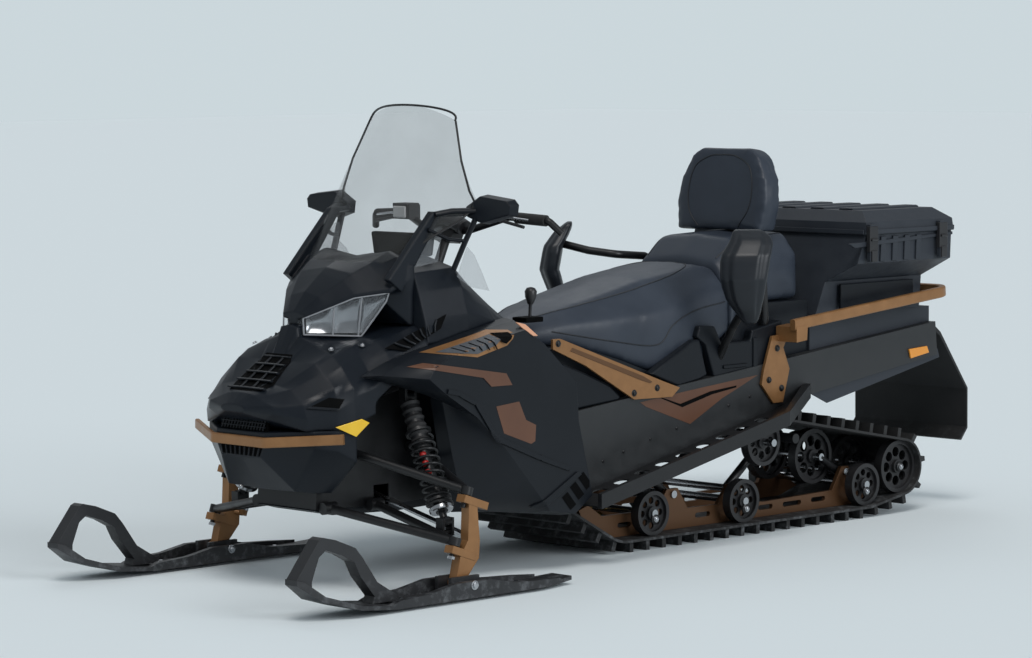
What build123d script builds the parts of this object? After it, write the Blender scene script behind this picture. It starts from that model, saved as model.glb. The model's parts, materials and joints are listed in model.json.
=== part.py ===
"""Two-seat utility snowmobile, built as separate pieces in one frame.

Frame: millimetres, +Z up, ground at Z = 0, the nose faces -Y and the rider's left hand is +X.
The origin lies on the ground in the middle of the overall length and width.
"""
import os
from math import hypot, radians, sin, cos

from build123d import *

os.makedirs("parts", exist_ok=True)

# ---------------------------------------------------------------- driving dimensions
# Skis and steering
ski_stance = 1085.0          # between the ski centrelines
ski_pivot_y = -1023.0        # ski pivot bolt
ski_pivot_z = 47.0
ski_width = 146.0
ski_front = 627.0            # from the pivot bolt forward to the loop's front
ski_tail = 420.0             # from the pivot bolt back to the tail
ski_sole = 8.0               # thickness of the ski's sole
ski_rib_width = 20.0         # raised rail along each edge of the ski
runner_height = 10.0
runner_width = 22.0
ski_loop_width = 44.0
ski_bolt_radius = 7.0
running_gap = 0.05           # radial clearance of a pin in its bore
seat_gap = 0.3               # clearance between pieces that rest on each other
kingpin_tilt = 19.0          # degrees, top leaning back
kingpin_inset = 4.0          # ball joints inboard of the ski centreline
lower_ball_y = -1036.0
lower_ball_z = 141.0
ball_spread = 150.0          # between the two ball joints along the kingpin
ball_stud_radius = 7.0
steer_arm = 82.0             # steering arm behind the kingpin
tie_rod_radius = 8.0

# Front suspension
arm_radius = 13.0
arm_inner_x = 150.0          # inner pivots of the arms
shock_radius = 26.0
spring_radius = 34.5
spring_wire = 4.0
spring_turns = 8

# Track and skid
track_width = 508.0
track_pitches = 54
belt = 8.0                   # thickness of the track's belt
lug = 32.0                   # height of the track's lugs
lug_thickness = 16.0
drive_y = -345.0
drive_z = 302.0
drive_radius = 90.0
bogie_radius = 70.5
bogie_width = 32.0
rear_axle_y = 1300.0
rear_axle_z = 157.0
rear_radius = 88.0
carrier_y = 1003.0
carrier_z = 207.0
carrier_radius = 92.0
top_idler_y = 640.0
top_idler_z = 292.0
top_idler_radius = 78.0
rail_nose_y = -20.0
rail_nose_radius = 150.0
rail_x = 165.0               # middle of each slide rail
rail_thickness = 14.0
bogie_x = 216.0              # middle of each outer wheel
carrier_x = 98.0
top_idler_x = 205.0
axle_radius = 12.0

# Tunnel and running boards
tunnel_half = 268.0
sheet = 3.0
tunnel_front = -490.0
tunnel_rear = 1450.0
tunnel_top_front = 440.0
tunnel_top_rear = 640.0
board_half = 440.0
board_front = -330.0
board_rear = 700.0

# Cockpit
column_lean = 25.0           # degrees, top leaning back
bar_y = -545.0
bar_z = 1008.0
bar_half = 385.0
bar_radius = 11.0
grip_radius = 17.0
column_radius = 14.0
column_length = 380.0

# Windscreen
screen_radius = 330.0
screen_sheet = 4.0
screen_top = 1402.0
screen_top_y = -719.0
screen_rake = 0.613          # backward run for each unit of height

# Cargo box
box_half = 380.0
box_front = 958.0
box_rear = 1395.0
box_floor = 692.0
box_seam = 955.0
box_wall = 5.0
lid_crown = 76.0

# ---------------------------------------------------------------- helpers
X_AXIS = (1, 0, 0)


def save(piece, node):
    """Label a finished piece and write it as its own file."""
    piece.part.label = node
    export_step(piece.part, f"parts/{node}.step")


def save_pair(left, node):
    """Write a left-hand piece, and its mirror image as the right-hand one."""
    save(left, f"{node}_left")
    with BuildPart() as right:
        mirror(left.part, about=Plane.YZ)
    save(right, f"{node}_right")


def save_both(left, node):
    """Write a left-hand piece and its mirror image as the two solids of one file."""
    with BuildPart() as both:
        add(left.part)
        mirror(left.part, about=Plane.YZ)
    save(both, node)
    return both


def rod(start, end, radius, mode=Mode.ADD):
    """Round rod from start to end, in the piece being built."""
    run = Vector(*end) - Vector(*start)
    with BuildSketch(Plane(origin=start, z_dir=run)) as section:
        Circle(radius)
    extrude(section.sketch, amount=run.length, mode=mode)


def bent_bar(points, bends, width, height=None, mode=Mode.ADD):
    """Bar along straight runs joined by arcs: round, or width by height with its width level."""
    with BuildLine() as route:
        FilletPolyline(*points, radius=bends)
    start = route.line @ 0
    ahead = route.line % 0
    level = ahead.cross(Vector(0, 0, 1))
    with BuildSketch(Plane(origin=start, x_dir=level, z_dir=ahead)) as section:
        if height is None:
            Circle(width)
        else:
            RectangleRounded(width, height, min(width, height) * 0.3)
    sweep(section.sketch, path=route.line, mode=mode)


def side_plate(outline, x_from, x_to, mode=Mode.ADD):
    """Plate with a side-view outline of (Y, Z) points, from one X to another."""
    with BuildSketch(Plane.YZ.offset(x_from)) as profile:
        Polygon(*outline, align=None)
    extrude(profile.sketch, amount=x_to - x_from, mode=mode)


def plan_plate(outline, z_from, z_to, mode=Mode.ADD):
    """Plate with a plan outline of (X, Y) points, from one Z to another."""
    with BuildSketch(Plane.XY.offset(z_from)) as profile:
        Polygon(*outline, align=None)
    extrude(profile.sketch, amount=z_to - z_from, mode=mode)


def lengthwise_loft(stations, mode=Mode.ADD):
    """Faceted body through upright sections: each row is its Y and its half outline of (X, Z)."""
    sections = []
    for y, half in stations:
        mirrored = [(-x, z) for x, z in reversed(half) if x > 0]
        with BuildSketch(Plane(origin=(0, y, 0), x_dir=X_AXIS, z_dir=(0, -1, 0))) as section:
            Polygon(*half, *mirrored, align=None)
        sections.append(section.sketch)
    loft(sections, ruled=True, mode=mode)


def sideways_loft(stations, mode=Mode.ADD):
    """Faceted body through side-view sections: each row is its X and its outline of (Y, Z)."""
    sections = []
    for x, outline in stations:
        with BuildSketch(Plane.YZ.offset(x)) as section:
            Polygon(*outline, align=None)
        sections.append(section.sketch)
    loft(sections, ruled=True, mode=mode)


def tunnel_top(y):
    """Height of the tunnel's top at y."""
    share = (y - tunnel_front) / (tunnel_rear - tunnel_front)
    return tunnel_top_front + share * (tunnel_top_rear - tunnel_top_front)


# ---------------------------------------------------------------- skis
ski_x = ski_stance / 2
sole_top = runner_height + ski_sole
ski_nose = ski_pivot_y - ski_front
ski_end = ski_pivot_y + ski_tail
half_ski = ski_width / 2
saddle_inner = 21.5          # half the space between the saddle's ears
saddle_outer = 34.0
saddle_front = ski_pivot_y - 55
saddle_rear = ski_pivot_y + 55

sole_outline = [
    (ski_end, runner_height + 4),
    (ski_end - 70, runner_height),
    (ski_nose + 330, runner_height),
    (ski_nose + 200, runner_height + 12),
    (ski_nose + 80, runner_height + 46),
    (ski_nose + 5, runner_height + 96),
    (ski_nose + 5, runner_height + 112),
    (ski_nose + 30, runner_height + 104),
    (ski_nose + 90, runner_height + 60),
    (ski_nose + 205, runner_height + 24),
    (ski_nose + 335, sole_top + 2),
    (ski_end - 70, sole_top + 2),
    (ski_end, runner_height + 16),
]
rib_outline = [
    (ski_end - 60, sole_top),
    (ski_nose + 300, sole_top),
    (ski_nose + 345, sole_top + 16),
    (ski_pivot_y - 170, sole_top + 22),
    (ski_pivot_y - 70, sole_top + 40),
    (ski_pivot_y + 60, sole_top + 40),
    (ski_pivot_y + 160, sole_top + 20),
    (ski_end - 60, sole_top + 10),
]
with BuildPart() as ski:
    side_plate(sole_outline, ski_x - half_ski, ski_x + half_ski)
    for edge in (-1, 1):
        side_plate(
            rib_outline,
            ski_x + edge * (half_ski - ski_rib_width / 2) - ski_rib_width / 2,
            ski_x + edge * (half_ski - ski_rib_width / 2) + ski_rib_width / 2,
        )
        ear_x = ski_x + edge * (saddle_inner + saddle_outer) / 2
        with Locations((ear_x, (saddle_front + saddle_rear) / 2, sole_top)):
            Box(
                saddle_outer - saddle_inner, saddle_rear - saddle_front, 50,
                align=(Align.CENTER, Align.CENTER, Align.MIN),
            )
    rod((ski_x - half_ski, ski_pivot_y, ski_pivot_z), (ski_x + half_ski, ski_pivot_y, ski_pivot_z),
        ski_bolt_radius)
    # The tip and the tail narrow towards their ends.
    for edge in (-1, 1):
        outer = ski_x + edge * (half_ski + 1)
        inner = ski_x + edge * ski_loop_width / 2
        plan_plate(
            [(outer, ski_nose - 5), (inner, ski_nose - 5), (outer, ski_nose + 190)],
            0, 200, mode=Mode.SUBTRACT,
        )
        tail_inner = ski_x + edge * half_ski * 0.55
        plan_plate(
            [(outer, ski_end + 5), (tail_inner, ski_end + 5), (outer, ski_end - 150)],
            0, 60, mode=Mode.SUBTRACT,
        )
save_pair(ski, "ski")

with BuildPart() as ski_runner:
    side_plate(
        [
            (ski_end - 90, runner_height - 0.2), (ski_nose + 345, runner_height - 0.2),
            (ski_nose + 375, 0), (ski_end - 110, 0),
        ],
        ski_x - runner_width / 2, ski_x + runner_width / 2,
    )
save_pair(ski_runner, "ski_runner")

loop_outline = [
    (ski_nose, 112), (ski_nose + 90, 224), (ski_nose + 104, 230), (ski_nose + 150, 219),
    (ski_nose + 222, 190), (ski_nose + 250, 158), (ski_nose + 302, 86), (ski_nose + 372, 44),
    (ski_nose + 376, 26), (ski_nose + 285, 26), (ski_nose + 292, 46), (ski_nose + 240, 107),
    (ski_nose + 218, 150), (ski_nose + 173, 174), (ski_nose + 114, 194), (ski_nose + 88, 176),
    (ski_nose + 62, 112), (ski_nose + 62, 60), (ski_nose, 60),
]
with BuildPart() as ski_loop:
    side_plate(loop_outline, ski_x - ski_loop_width / 2, ski_x + ski_loop_width / 2)
    add(ski.part, mode=Mode.SUBTRACT)
    ski_loop_body = ski_loop.part.solids().sort_by(SortBy.VOLUME)[-1]
with BuildPart() as ski_loop_piece:
    add(ski_loop_body)
save_pair(ski_loop_piece, "ski_loop")

# ---------------------------------------------------------------- spindles
kingpin_x = ski_x - kingpin_inset
lean = radians(kingpin_tilt)
kingpin_up = Vector(0, sin(lean), cos(lean))
kingpin_back = Vector(0, cos(lean), -sin(lean))
lower_ball = Vector(kingpin_x, lower_ball_y, lower_ball_z)
upper_ball = lower_ball + kingpin_up * ball_spread
kingpin_plane = Plane(origin=lower_ball, x_dir=X_AXIS, z_dir=kingpin_up)
lug_half = 11.0
spindle_half = 16.0
body_back = 62.0             # from the kingpin back to the upright's front
spindle_outline = [
    (ski_pivot_y - 16, ski_pivot_z + 2),
    (ski_pivot_y + 2, lower_ball_z - 20),
    (lower_ball_y + 46, lower_ball_z + 25),
    (lower_ball_y + 50, lower_ball_z + 100),
    (upper_ball.Y + 2, upper_ball.Z - 6),
    (upper_ball.Y + 36, upper_ball.Z - 8),
    (lower_ball_y + 84, lower_ball_z + 110),
    (lower_ball_y + 92, lower_ball_z + 20),
    (lower_ball_y + 88, lower_ball_z - 30),
    (ski_pivot_y + 18, ski_pivot_z + 2),
]
foot_radius = 19.0
steer_ball = lower_ball + kingpin_up * 40 + kingpin_back * steer_arm - Vector(34, 0, 0)
with BuildPart() as spindle:
    side_plate(spindle_outline, kingpin_x - spindle_half, kingpin_x + spindle_half)
    rod((ski_x - saddle_inner + 1.5, ski_pivot_y, ski_pivot_z),
        (ski_x + saddle_inner - 1.5, ski_pivot_y, ski_pivot_z), foot_radius)
    # Lugs square to the kingpin, for the two ball joints.
    for along in (0.0, ball_spread):
        with Locations(kingpin_plane.offset(along - lug_half if along == 0 else along - lug_half)):
            with Locations((0, 32, 0)):
                Box(34, 96, 2 * lug_half, align=(Align.CENTER, Align.CENTER, Align.MIN))
    with Locations(kingpin_plane.offset(-lug_half - 1)):
        Cylinder(ball_stud_radius + running_gap, ball_spread + 2 * lug_half + 2,
                 align=(Align.CENTER, Align.CENTER, Align.MIN), mode=Mode.SUBTRACT)
    # Steering arm, with the boss that the tie rod's eye sits on.
    arm_root = lower_ball + kingpin_up * 34 + kingpin_back * 58
    rod(tuple(arm_root), tuple(steer_ball - kingpin_up * 6), 8)
    with Locations(Plane(origin=steer_ball - kingpin_up * 12, x_dir=X_AXIS, z_dir=kingpin_up)):
        Cylinder(13, 16, align=(Align.CENTER, Align.CENTER, Align.MIN))
    rod((ski_x - saddle_outer, ski_pivot_y, ski_pivot_z), (ski_x + saddle_outer, ski_pivot_y, ski_pivot_z),
        ski_bolt_radius + running_gap, mode=Mode.SUBTRACT)
save_pair(spindle, "spindle")

# ---------------------------------------------------------------- front suspension
lower_front = Vector(arm_inner_x, -1165, 240)
lower_rear = Vector(arm_inner_x, -985, 236)
upper_front = Vector(arm_inner_x, -1141, 418)
upper_rear = Vector(arm_inner_x, -826, 392)
barrel_radius = arm_radius + 5
plate_outer = arm_inner_x - barrel_radius - seat_gap
ball_house = 12.0
lower_house = lower_ball + kingpin_up * (lug_half + 2 + ball_house)
shock_share = 0.2            # the shock's foot, as a share of the arm's length from its outer end
eye_half = 14.0
ear_sheet = 8.0
ear_offset = eye_half + seat_gap + ear_sheet / 2
shock_foot = Vector(lower_house.X + (arm_inner_x - lower_house.X) * shock_share, -993, 212)
shock_head = Vector(258, -949, 556)
shock_run = shock_head - shock_foot
shock_up = shock_run.normalized()
spring_low = 62.0
spring_length = shock_run.length - spring_low - 120
for node, ball, side_of_lug, pivots in (
    ("lower_arms", lower_ball, 1, (lower_front, lower_rear)),
    ("upper_arms", upper_ball, 1, (upper_front, upper_rear)),
):
    house_centre = ball + kingpin_up * side_of_lug * (lug_half + 2 + ball_house)
    with BuildPart() as arm:
        for pivot in pivots:
            inward = (pivot - house_centre).normalized()
            rod(tuple(house_centre + inward * 6), tuple(pivot), arm_radius)
            rod((pivot.X, pivot.Y - 24, pivot.Z), (pivot.X, pivot.Y + 24, pivot.Z), barrel_radius)
        with Locations(Plane(origin=house_centre - kingpin_up * ball_house, x_dir=X_AXIS, z_dir=kingpin_up)):
            Cylinder(18, 2 * ball_house, align=(Align.CENTER, Align.CENTER, Align.MIN))
        with Locations(Plane(origin=ball - kingpin_up * (lug_half + 14), x_dir=X_AXIS, z_dir=kingpin_up)):
            Cylinder(ball_stud_radius, 2 * lug_half + 24, align=(Align.CENTER, Align.CENTER, Align.MIN))
        if node == "lower_arms":
            brace_out = house_centre + (lower_front - house_centre) * shock_share
            brace_in = Vector(shock_foot.X, shock_foot.Y + ear_offset, brace_out.Z)
            rod(tuple(brace_out), tuple(brace_in), 9)
            for edge in (-1, 1):
                with Locations((shock_foot.X, shock_foot.Y + edge * ear_offset, shock_foot.Z - 14)):
                    Box(30, ear_sheet, 52)
    save_both(arm, node)

with BuildPart() as front_shock:
    rod(tuple(shock_foot), tuple(shock_foot + shock_up * 32), 11)
    rod(tuple(shock_foot + shock_up * 30), tuple(shock_foot + shock_up * 110), 18)
    rod(tuple(shock_foot + shock_up * 100), tuple(shock_head - shock_up * 60), 10)
    rod(tuple(shock_head - shock_up * 170), tuple(shock_head - shock_up * 34), shock_radius)
    rod(tuple(shock_head - shock_up * 36), tuple(shock_head), 11)
    for eye in (shock_foot, shock_head):
        rod((eye.X, eye.Y - eye_half, eye.Z), (eye.X, eye.Y + eye_half, eye.Z), 15)
    for along in (spring_low, spring_low + spring_length):
        rod(tuple(shock_foot + shock_up * along), tuple(shock_foot + shock_up * (along + 8)),
            spring_radius + spring_wire)
    with BuildLine() as coil:
        Helix(spring_length / spring_turns, spring_length, spring_radius,
              center=tuple(shock_foot + shock_up * (spring_low + 4)), direction=tuple(shock_up))
    with BuildSketch(Plane(origin=coil.line @ 0, z_dir=coil.line % 0)) as wire:
        Circle(spring_wire)
    sweep(wire.sketch, path=coil.line)
save_both(front_shock, "front_shocks")

# Tie rods and the link that joins them under the engine: they slide sideways together.
eye_drop = kingpin_up * (16 + seat_gap)
tie_outer = steer_ball + eye_drop
tie_inner = Vector(60, -940, 268)
with BuildPart() as tie_rods:
    for sign in (1, -1):
        outer = (sign * tie_outer.X, tie_outer.Y, tie_outer.Z)
        inner = (sign * tie_inner.X, tie_inner.Y, tie_inner.Z)
        rod(outer, inner, tie_rod_radius)
        with Locations(Plane(origin=Vector(*outer) - kingpin_up * 12, x_dir=X_AXIS, z_dir=kingpin_up)):
            Cylinder(14, 24, align=(Align.CENTER, Align.CENTER, Align.MIN))
    rod((-tie_inner.X - 20, tie_inner.Y, tie_inner.Z), (tie_inner.X + 20, tie_inner.Y, tie_inner.Z), 12)
save(tie_rods, "tie_rods")

# ---------------------------------------------------------------- track
ground_wheel_z = lug + belt + bogie_radius
bogie_row = (112.0, 534.0, 1132.0)
loop_circles = (
    # y, z, radius of each round that the belt runs over
    (drive_y, drive_z, drive_radius),
    (rail_nose_y, lug + belt + rail_nose_radius, rail_nose_radius),
    (bogie_row[2], ground_wheel_z, bogie_radius),
    (rear_axle_y, rear_axle_z, rear_radius),
    (carrier_y, carrier_z, carrier_radius),
    (top_idler_y, top_idler_z, top_idler_radius),
)
half_track = track_width / 2


def belt_loop(extra):
    """Side view of the belt's path, as the hull of its rounds grown by extra."""
    with BuildSketch(Plane.YZ) as hull:
        for y, z, radius in loop_circles:
            with Locations((y, z)):
                Circle(radius + extra)
        make_hull()
    return hull.sketch


with BuildPart() as track:
    extrude(belt_loop(belt), amount=half_track, both=True)
    extrude(belt_loop(seat_gap), amount=half_track + 1, both=True, mode=Mode.SUBTRACT)
    outer_wire = belt_loop(belt - 1).face().outer_wire()
    for step in range(track_pitches):
        place = outer_wire @ (step / track_pitches)
        along = outer_wire % (step / track_pitches)
        outward = Vector(1, 0, 0).cross(along)
        centre = Vector(0, (drive_y + rear_axle_y) / 2, drive_z / 2)
        if outward.dot(place - centre) < 0:
            outward = outward * -1
        with Locations(Plane(origin=place, x_dir=X_AXIS, z_dir=outward)):
            Box(track_width - 24, lug_thickness, lug + 1, align=(Align.CENTER, Align.CENTER, Align.MIN))
save(track, "track")

# ---------------------------------------------------------------- skid
rail_base = lug + belt + seat_gap
rail_nose = [
    (rail_nose_y - rail_nose_radius * sin(radians(turn)), rail_base + rail_nose_radius * (1 - cos(radians(turn))))
    for turn in (70, 55, 40, 25, 10)
]
rail_outline = [
    *rail_nose, (rail_nose_y, rail_base),
    (bogie_row[2], rail_base), (bogie_row[2] + 18, rail_base + 5), (1225, rail_base + 28),
    (1170, rail_base + 62), (1140, rail_base + 84),
    (1112, rail_base + 130), (1078, rail_base + 130), (1030, rail_base + 55), (690, rail_base + 48),
    (600, rail_base + 60), (570, rail_base + 120), (520, rail_base + 120), (470, rail_base + 60),
    (330, rail_base + 62), (285, rail_base + 130), (235, rail_base + 130), (190, rail_base + 70),
    (-60, rail_base + 72), (-120, rail_base + 112),
]
shock_front = (-22.0, 174.0)
shock_rear = (88.0, 80.0)
front_pivot = (262, rail_base + 112)
mid_pivot = (545, rail_base + 104)
rear_pivot = (1095, rail_base + 112)
slots = (
    # y, z above the rail's base, length of each slot
    (40, 36, 60), (400, 34, 70), (700, 30, 70), (830, 30, 90), (960, 32, 70),
)
with BuildPart() as skid_rail:
    side_plate(rail_outline, rail_x - rail_thickness / 2, rail_x + rail_thickness / 2)
    with BuildSketch(Plane.YZ.offset(rail_x + rail_thickness / 2)) as slot_cut:
        for y, z, length in slots:
            with Locations((y, rail_base + z)):
                SlotOverall(length, 16)
    extrude(slot_cut.sketch, amount=-rail_thickness, mode=Mode.SUBTRACT)
    for y, z in (front_pivot, mid_pivot, rear_pivot, shock_rear, *((row, ground_wheel_z) for row in bogie_row)):
        rod((rail_x - rail_thickness, y, z), (rail_x + rail_thickness, y, z), axle_radius, mode=Mode.SUBTRACT)
save_both(skid_rail, "skid_rails")

wheel_rim = 13.0
hub_radius = 22.0


def wheel(x, y, z, radius, width):
    """Spoked rubber-rimmed wheel on an axle along X."""
    with BuildSketch(Plane(origin=(x, y, z), x_dir=(0, 1, 0), z_dir=X_AXIS)) as rim:
        Circle(radius)
        Circle(radius - wheel_rim, mode=Mode.SUBTRACT)
    extrude(rim.sketch, amount=width / 2, both=True)
    with BuildSketch(Plane(origin=(x, y, z), x_dir=(0, 1, 0), z_dir=X_AXIS)) as web:
        Circle(radius - wheel_rim + 1)
        with PolarLocations((radius - wheel_rim + hub_radius) / 2, 8):
            Circle((radius - wheel_rim - hub_radius) / 3.2, mode=Mode.SUBTRACT)
    extrude(web.sketch, amount=4, both=True)
    rod((x - width / 2, y, z), (x + width / 2, y, z), hub_radius)
    rod((x - width, y, z), (x + width, y, z), axle_radius + running_gap, mode=Mode.SUBTRACT)


with BuildPart() as bogie_wheels:
    for sign in (1, -1):
        for y in bogie_row:
            wheel(sign * bogie_x, y, ground_wheel_z, bogie_radius, bogie_width)
        wheel(sign * carrier_x, carrier_y, carrier_z, carrier_radius, bogie_width)
        wheel(sign * top_idler_x, top_idler_y, top_idler_z, top_idler_radius, bogie_width)
save(bogie_wheels, "skid_wheels")

with BuildPart() as rear_wheels:
    for sign in (1, -1):
        wheel(sign * bogie_x, rear_axle_y, rear_axle_z, rear_radius, bogie_width)
    wheel(0, rear_axle_y, rear_axle_z, rear_radius, bogie_width)
save(rear_wheels, "rear_wheels")


axle_end = bogie_x + bogie_width / 2 + 6
carrier_span = 150.0
with BuildPart() as skid_axles:
    for y in bogie_row:
        rod((-axle_end, y, ground_wheel_z), (axle_end, y, ground_wheel_z), axle_radius)
    for y, z in (front_pivot, mid_pivot, rear_pivot, shock_rear):
        rod((-rail_x - rail_thickness, y, z), (rail_x + rail_thickness, y, z), axle_radius)
    rod((-axle_end, rear_axle_y, rear_axle_z), (axle_end, rear_axle_y, rear_axle_z), axle_radius)
    rod((-carrier_span, carrier_y, carrier_z), (carrier_span, carrier_y, carrier_z), axle_radius)
    rod((-tunnel_half + sheet, top_idler_y, top_idler_z), (tunnel_half - sheet, top_idler_y, top_idler_z),
        axle_radius)
save(skid_axles, "skid_axles")

arm_x = 138.0
hanger_x = 34.0
front_arm_top = (40.0, 335.0)
rear_arm_top = (745.0, 298.0)
with BuildPart() as skid_arms:
    for sign in (1, -1):
        for (low_y, low_z), (top_y, top_z) in ((front_pivot, front_arm_top), (mid_pivot, rear_arm_top)):
            with BuildSketch(Plane(origin=(sign * arm_x, low_y, low_z),
                                   z_dir=(0, top_y - low_y, top_z - low_z))) as tube:
                Circle(14)
            extrude(tube.sketch, amount=hypot(top_y - low_y, top_z - low_z))
        rod((sign * arm_x, carrier_y, carrier_z), (sign * arm_x, rear_pivot[0], rear_pivot[1]), 13)
        rod((sign * arm_x, rear_axle_y, rear_axle_z), (sign * arm_x, rear_pivot[0], rear_pivot[1]), 15)
    for top_y, top_z in (front_arm_top, rear_arm_top):
        rod((-tunnel_half + sheet, top_y, top_z), (tunnel_half - sheet, top_y, top_z), 16)
    # Lever on the front arm that the shock's front eye hangs from.
    rod((-hanger_x, *shock_front), (hanger_x, *shock_front), axle_radius)
    for sign in (1, -1):
        rod((sign * hanger_x, *shock_front), (sign * hanger_x, *front_arm_top), 9)
    add(skid_axles.part, mode=Mode.SUBTRACT)
save(skid_arms, "skid_arms")

with BuildPart() as skid_shock:
    rod((0, *shock_front), (0, *shock_rear), 9)
    shock_split = [front + (rear - front) * 0.62 for front, rear in zip(shock_front, shock_rear)]
    rod((0, *shock_front), (0, *shock_split), 24)
    for y, z in (shock_front, shock_rear):
        rod((-eye_half, y, z), (eye_half, y, z), 19)
    for y, z in (shock_front, shock_rear):
        rod((-26, y, z), (26, y, z), axle_radius + running_gap, mode=Mode.SUBTRACT)
save(skid_shock, "skid_shock")

with BuildPart() as drive_axle:
    rod((-tunnel_half + sheet, drive_y, drive_z), (tunnel_half - sheet, drive_y, drive_z), 17)
    for x in (-150, -60, 60, 150):
        rod((x - 12, drive_y, drive_z), (x + 12, drive_y, drive_z), drive_radius)
save(drive_axle, "drive_axle")

# ---------------------------------------------------------------- tunnel
board_slope = 0.22


def board_floor(y):
    """Height of the running board's floor, and of the tunnel's lower edge, at y."""
    return 221 + (y + 176) * board_slope


tunnel_outline = [
    (tunnel_front, board_floor(tunnel_front) + 30),
    (-300, board_floor(-300)),
    (800, board_floor(800)),
    (tunnel_rear + 10, 528),
    (tunnel_rear, tunnel_top_rear),
    (tunnel_front, tunnel_top_front),
]
with BuildPart() as tunnel:
    side_plate(tunnel_outline, -tunnel_half, tunnel_half)
    hollow = [
        (tunnel_front + sheet, 100), (tunnel_rear + 40, 100), (tunnel_rear + 40, tunnel_top_rear - sheet + 4),
        (tunnel_front + sheet, tunnel_top_front - sheet),
    ]
    side_plate(hollow, -tunnel_half + sheet, tunnel_half - sheet, mode=Mode.SUBTRACT)
save(tunnel, "tunnel")

# ---------------------------------------------------------------- running boards
rail_height = 42.0
board_sheet = 4.0
board_run = [(board_front, 0), (540.0, 0), (board_rear, 0)]
with BuildPart() as board:
    floor_side = [
        (board_front, board_floor(board_front)), (board_rear + 100, board_floor(board_rear + 100)),
        (board_rear + 100, board_floor(board_rear + 100) + board_sheet),
        (board_front, board_floor(board_front) + board_sheet),
    ]
    side_plate(floor_side, tunnel_half + seat_gap, board_half)
    rail_side = [
        (board_front, board_floor(board_front) - 4), (board_rear + 100, board_floor(board_rear + 100) - 4),
        (board_rear + 100, board_floor(board_rear + 100) + rail_height),
        (board_front, board_floor(board_front) + rail_height),
    ]
    with BuildSketch(Plane.XY.offset(100)) as floor_plan:
        Polygon(
            (tunnel_half + seat_gap, board_front), (board_half, board_front), (board_half, 520),
            (tunnel_half + 22, board_rear + 90), (tunnel_half + seat_gap, board_rear + 90), align=None,
        )
    extrude(floor_plan.sketch, amount=500, mode=Mode.INTERSECT)
    # Open grip holes, in rows between the cross bars.
    with BuildSketch(Plane.XY.offset(100)) as holes:
        for row in range(9):
            with Locations(((tunnel_half + board_half) / 2 - 12, -210 + row * 92)):
                SlotOverall(104, 46)
    extrude(holes.sketch, amount=500, mode=Mode.SUBTRACT)
with BuildPart() as board_edge:
    side_plate(rail_side, tunnel_half + seat_gap, board_half)
    with BuildSketch(Plane.XY.offset(100)) as edge_plan:
        Polygon(
            (board_half - 16, board_front), (board_half, board_front), (board_half, 520),
            (tunnel_half + 22, board_rear + 90), (tunnel_half + seat_gap, board_rear + 90),
            (tunnel_half + seat_gap, board_rear + 70), (board_half - 16, 512), align=None,
        )
    extrude(edge_plan.sketch, amount=500, mode=Mode.INTERSECT)
with BuildPart() as running_board:
    add(board.part)
    add(board_edge.part)
running_boards = save_both(running_board, "running_boards")

# ---------------------------------------------------------------- chassis
plate_sheet = 6.0
lean_c = radians(column_lean)
column_up = Vector(0, sin(lean_c), cos(lean_c))
bar_centre = Vector(0, bar_y, bar_z)
column_foot = bar_centre - column_up * column_length
column_plane = Plane(origin=column_foot, x_dir=X_AXIS, z_dir=column_up)
bearing_radius = 30.0
with BuildPart() as front_frame:
    side_view = [
        (-1200, 236), (-1180, 440), (-1020, 590), (-620, 640), (tunnel_front, tunnel_top_front),
        (tunnel_front, 240), (-900, 226),
    ]
    side_plate(side_view, -plate_outer, plate_outer)
    window = [(-1185, 250), (-1166, 434), (-1010, 578), (-625, 626), (tunnel_front + 1, tunnel_top_front - 14),
              (tunnel_front + 1, 254), (-900, 240)]
    side_plate(window, -plate_outer + plate_sheet, plate_outer - plate_sheet, mode=Mode.SUBTRACT)
    for sign in (1, -1):
        rod((sign * (plate_outer - plate_sheet), shock_head.Y, 560), (sign * shock_head.X, shock_head.Y, 600), 14)
        for edge in (-1, 1):
            with Locations((sign * shock_head.X, shock_head.Y + edge * ear_offset, shock_head.Z + 20)):
                Box(28, ear_sheet, 66)
        with Locations((sign * shock_head.X, shock_head.Y, shock_head.Z + 46)):
            Box(28, 2 * ear_offset + ear_sheet, 14)
    # Slots that let the tie rods through.
    with Locations((0, tie_inner.Y - 4, tie_inner.Z - 14)):
        Box(2 * plate_outer + 2, 60, 70, mode=Mode.SUBTRACT)
    # Bearing that holds the steering column's lower end.
    with Locations((0, column_foot.Y + 8, column_foot.Z - 16)):
        Box(2 * bearing_radius, 52, 72)
    with Locations(column_plane.offset(6)):
        Cylinder(bearing_radius, 40, align=(Align.CENTER, Align.CENTER, Align.MIN))
    with Locations(column_plane.offset(-2)):
        Cylinder(column_radius + running_gap, 100, align=(Align.CENTER, Align.CENTER, Align.MIN),
                 mode=Mode.SUBTRACT)
save(front_frame, "front_frame")

with BuildPart() as engine_block:
    with Locations((0, -750, 412)):
        Box(2 * (plate_outer - plate_sheet - seat_gap), 380, 228)
save(engine_block, "engine_block")

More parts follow.
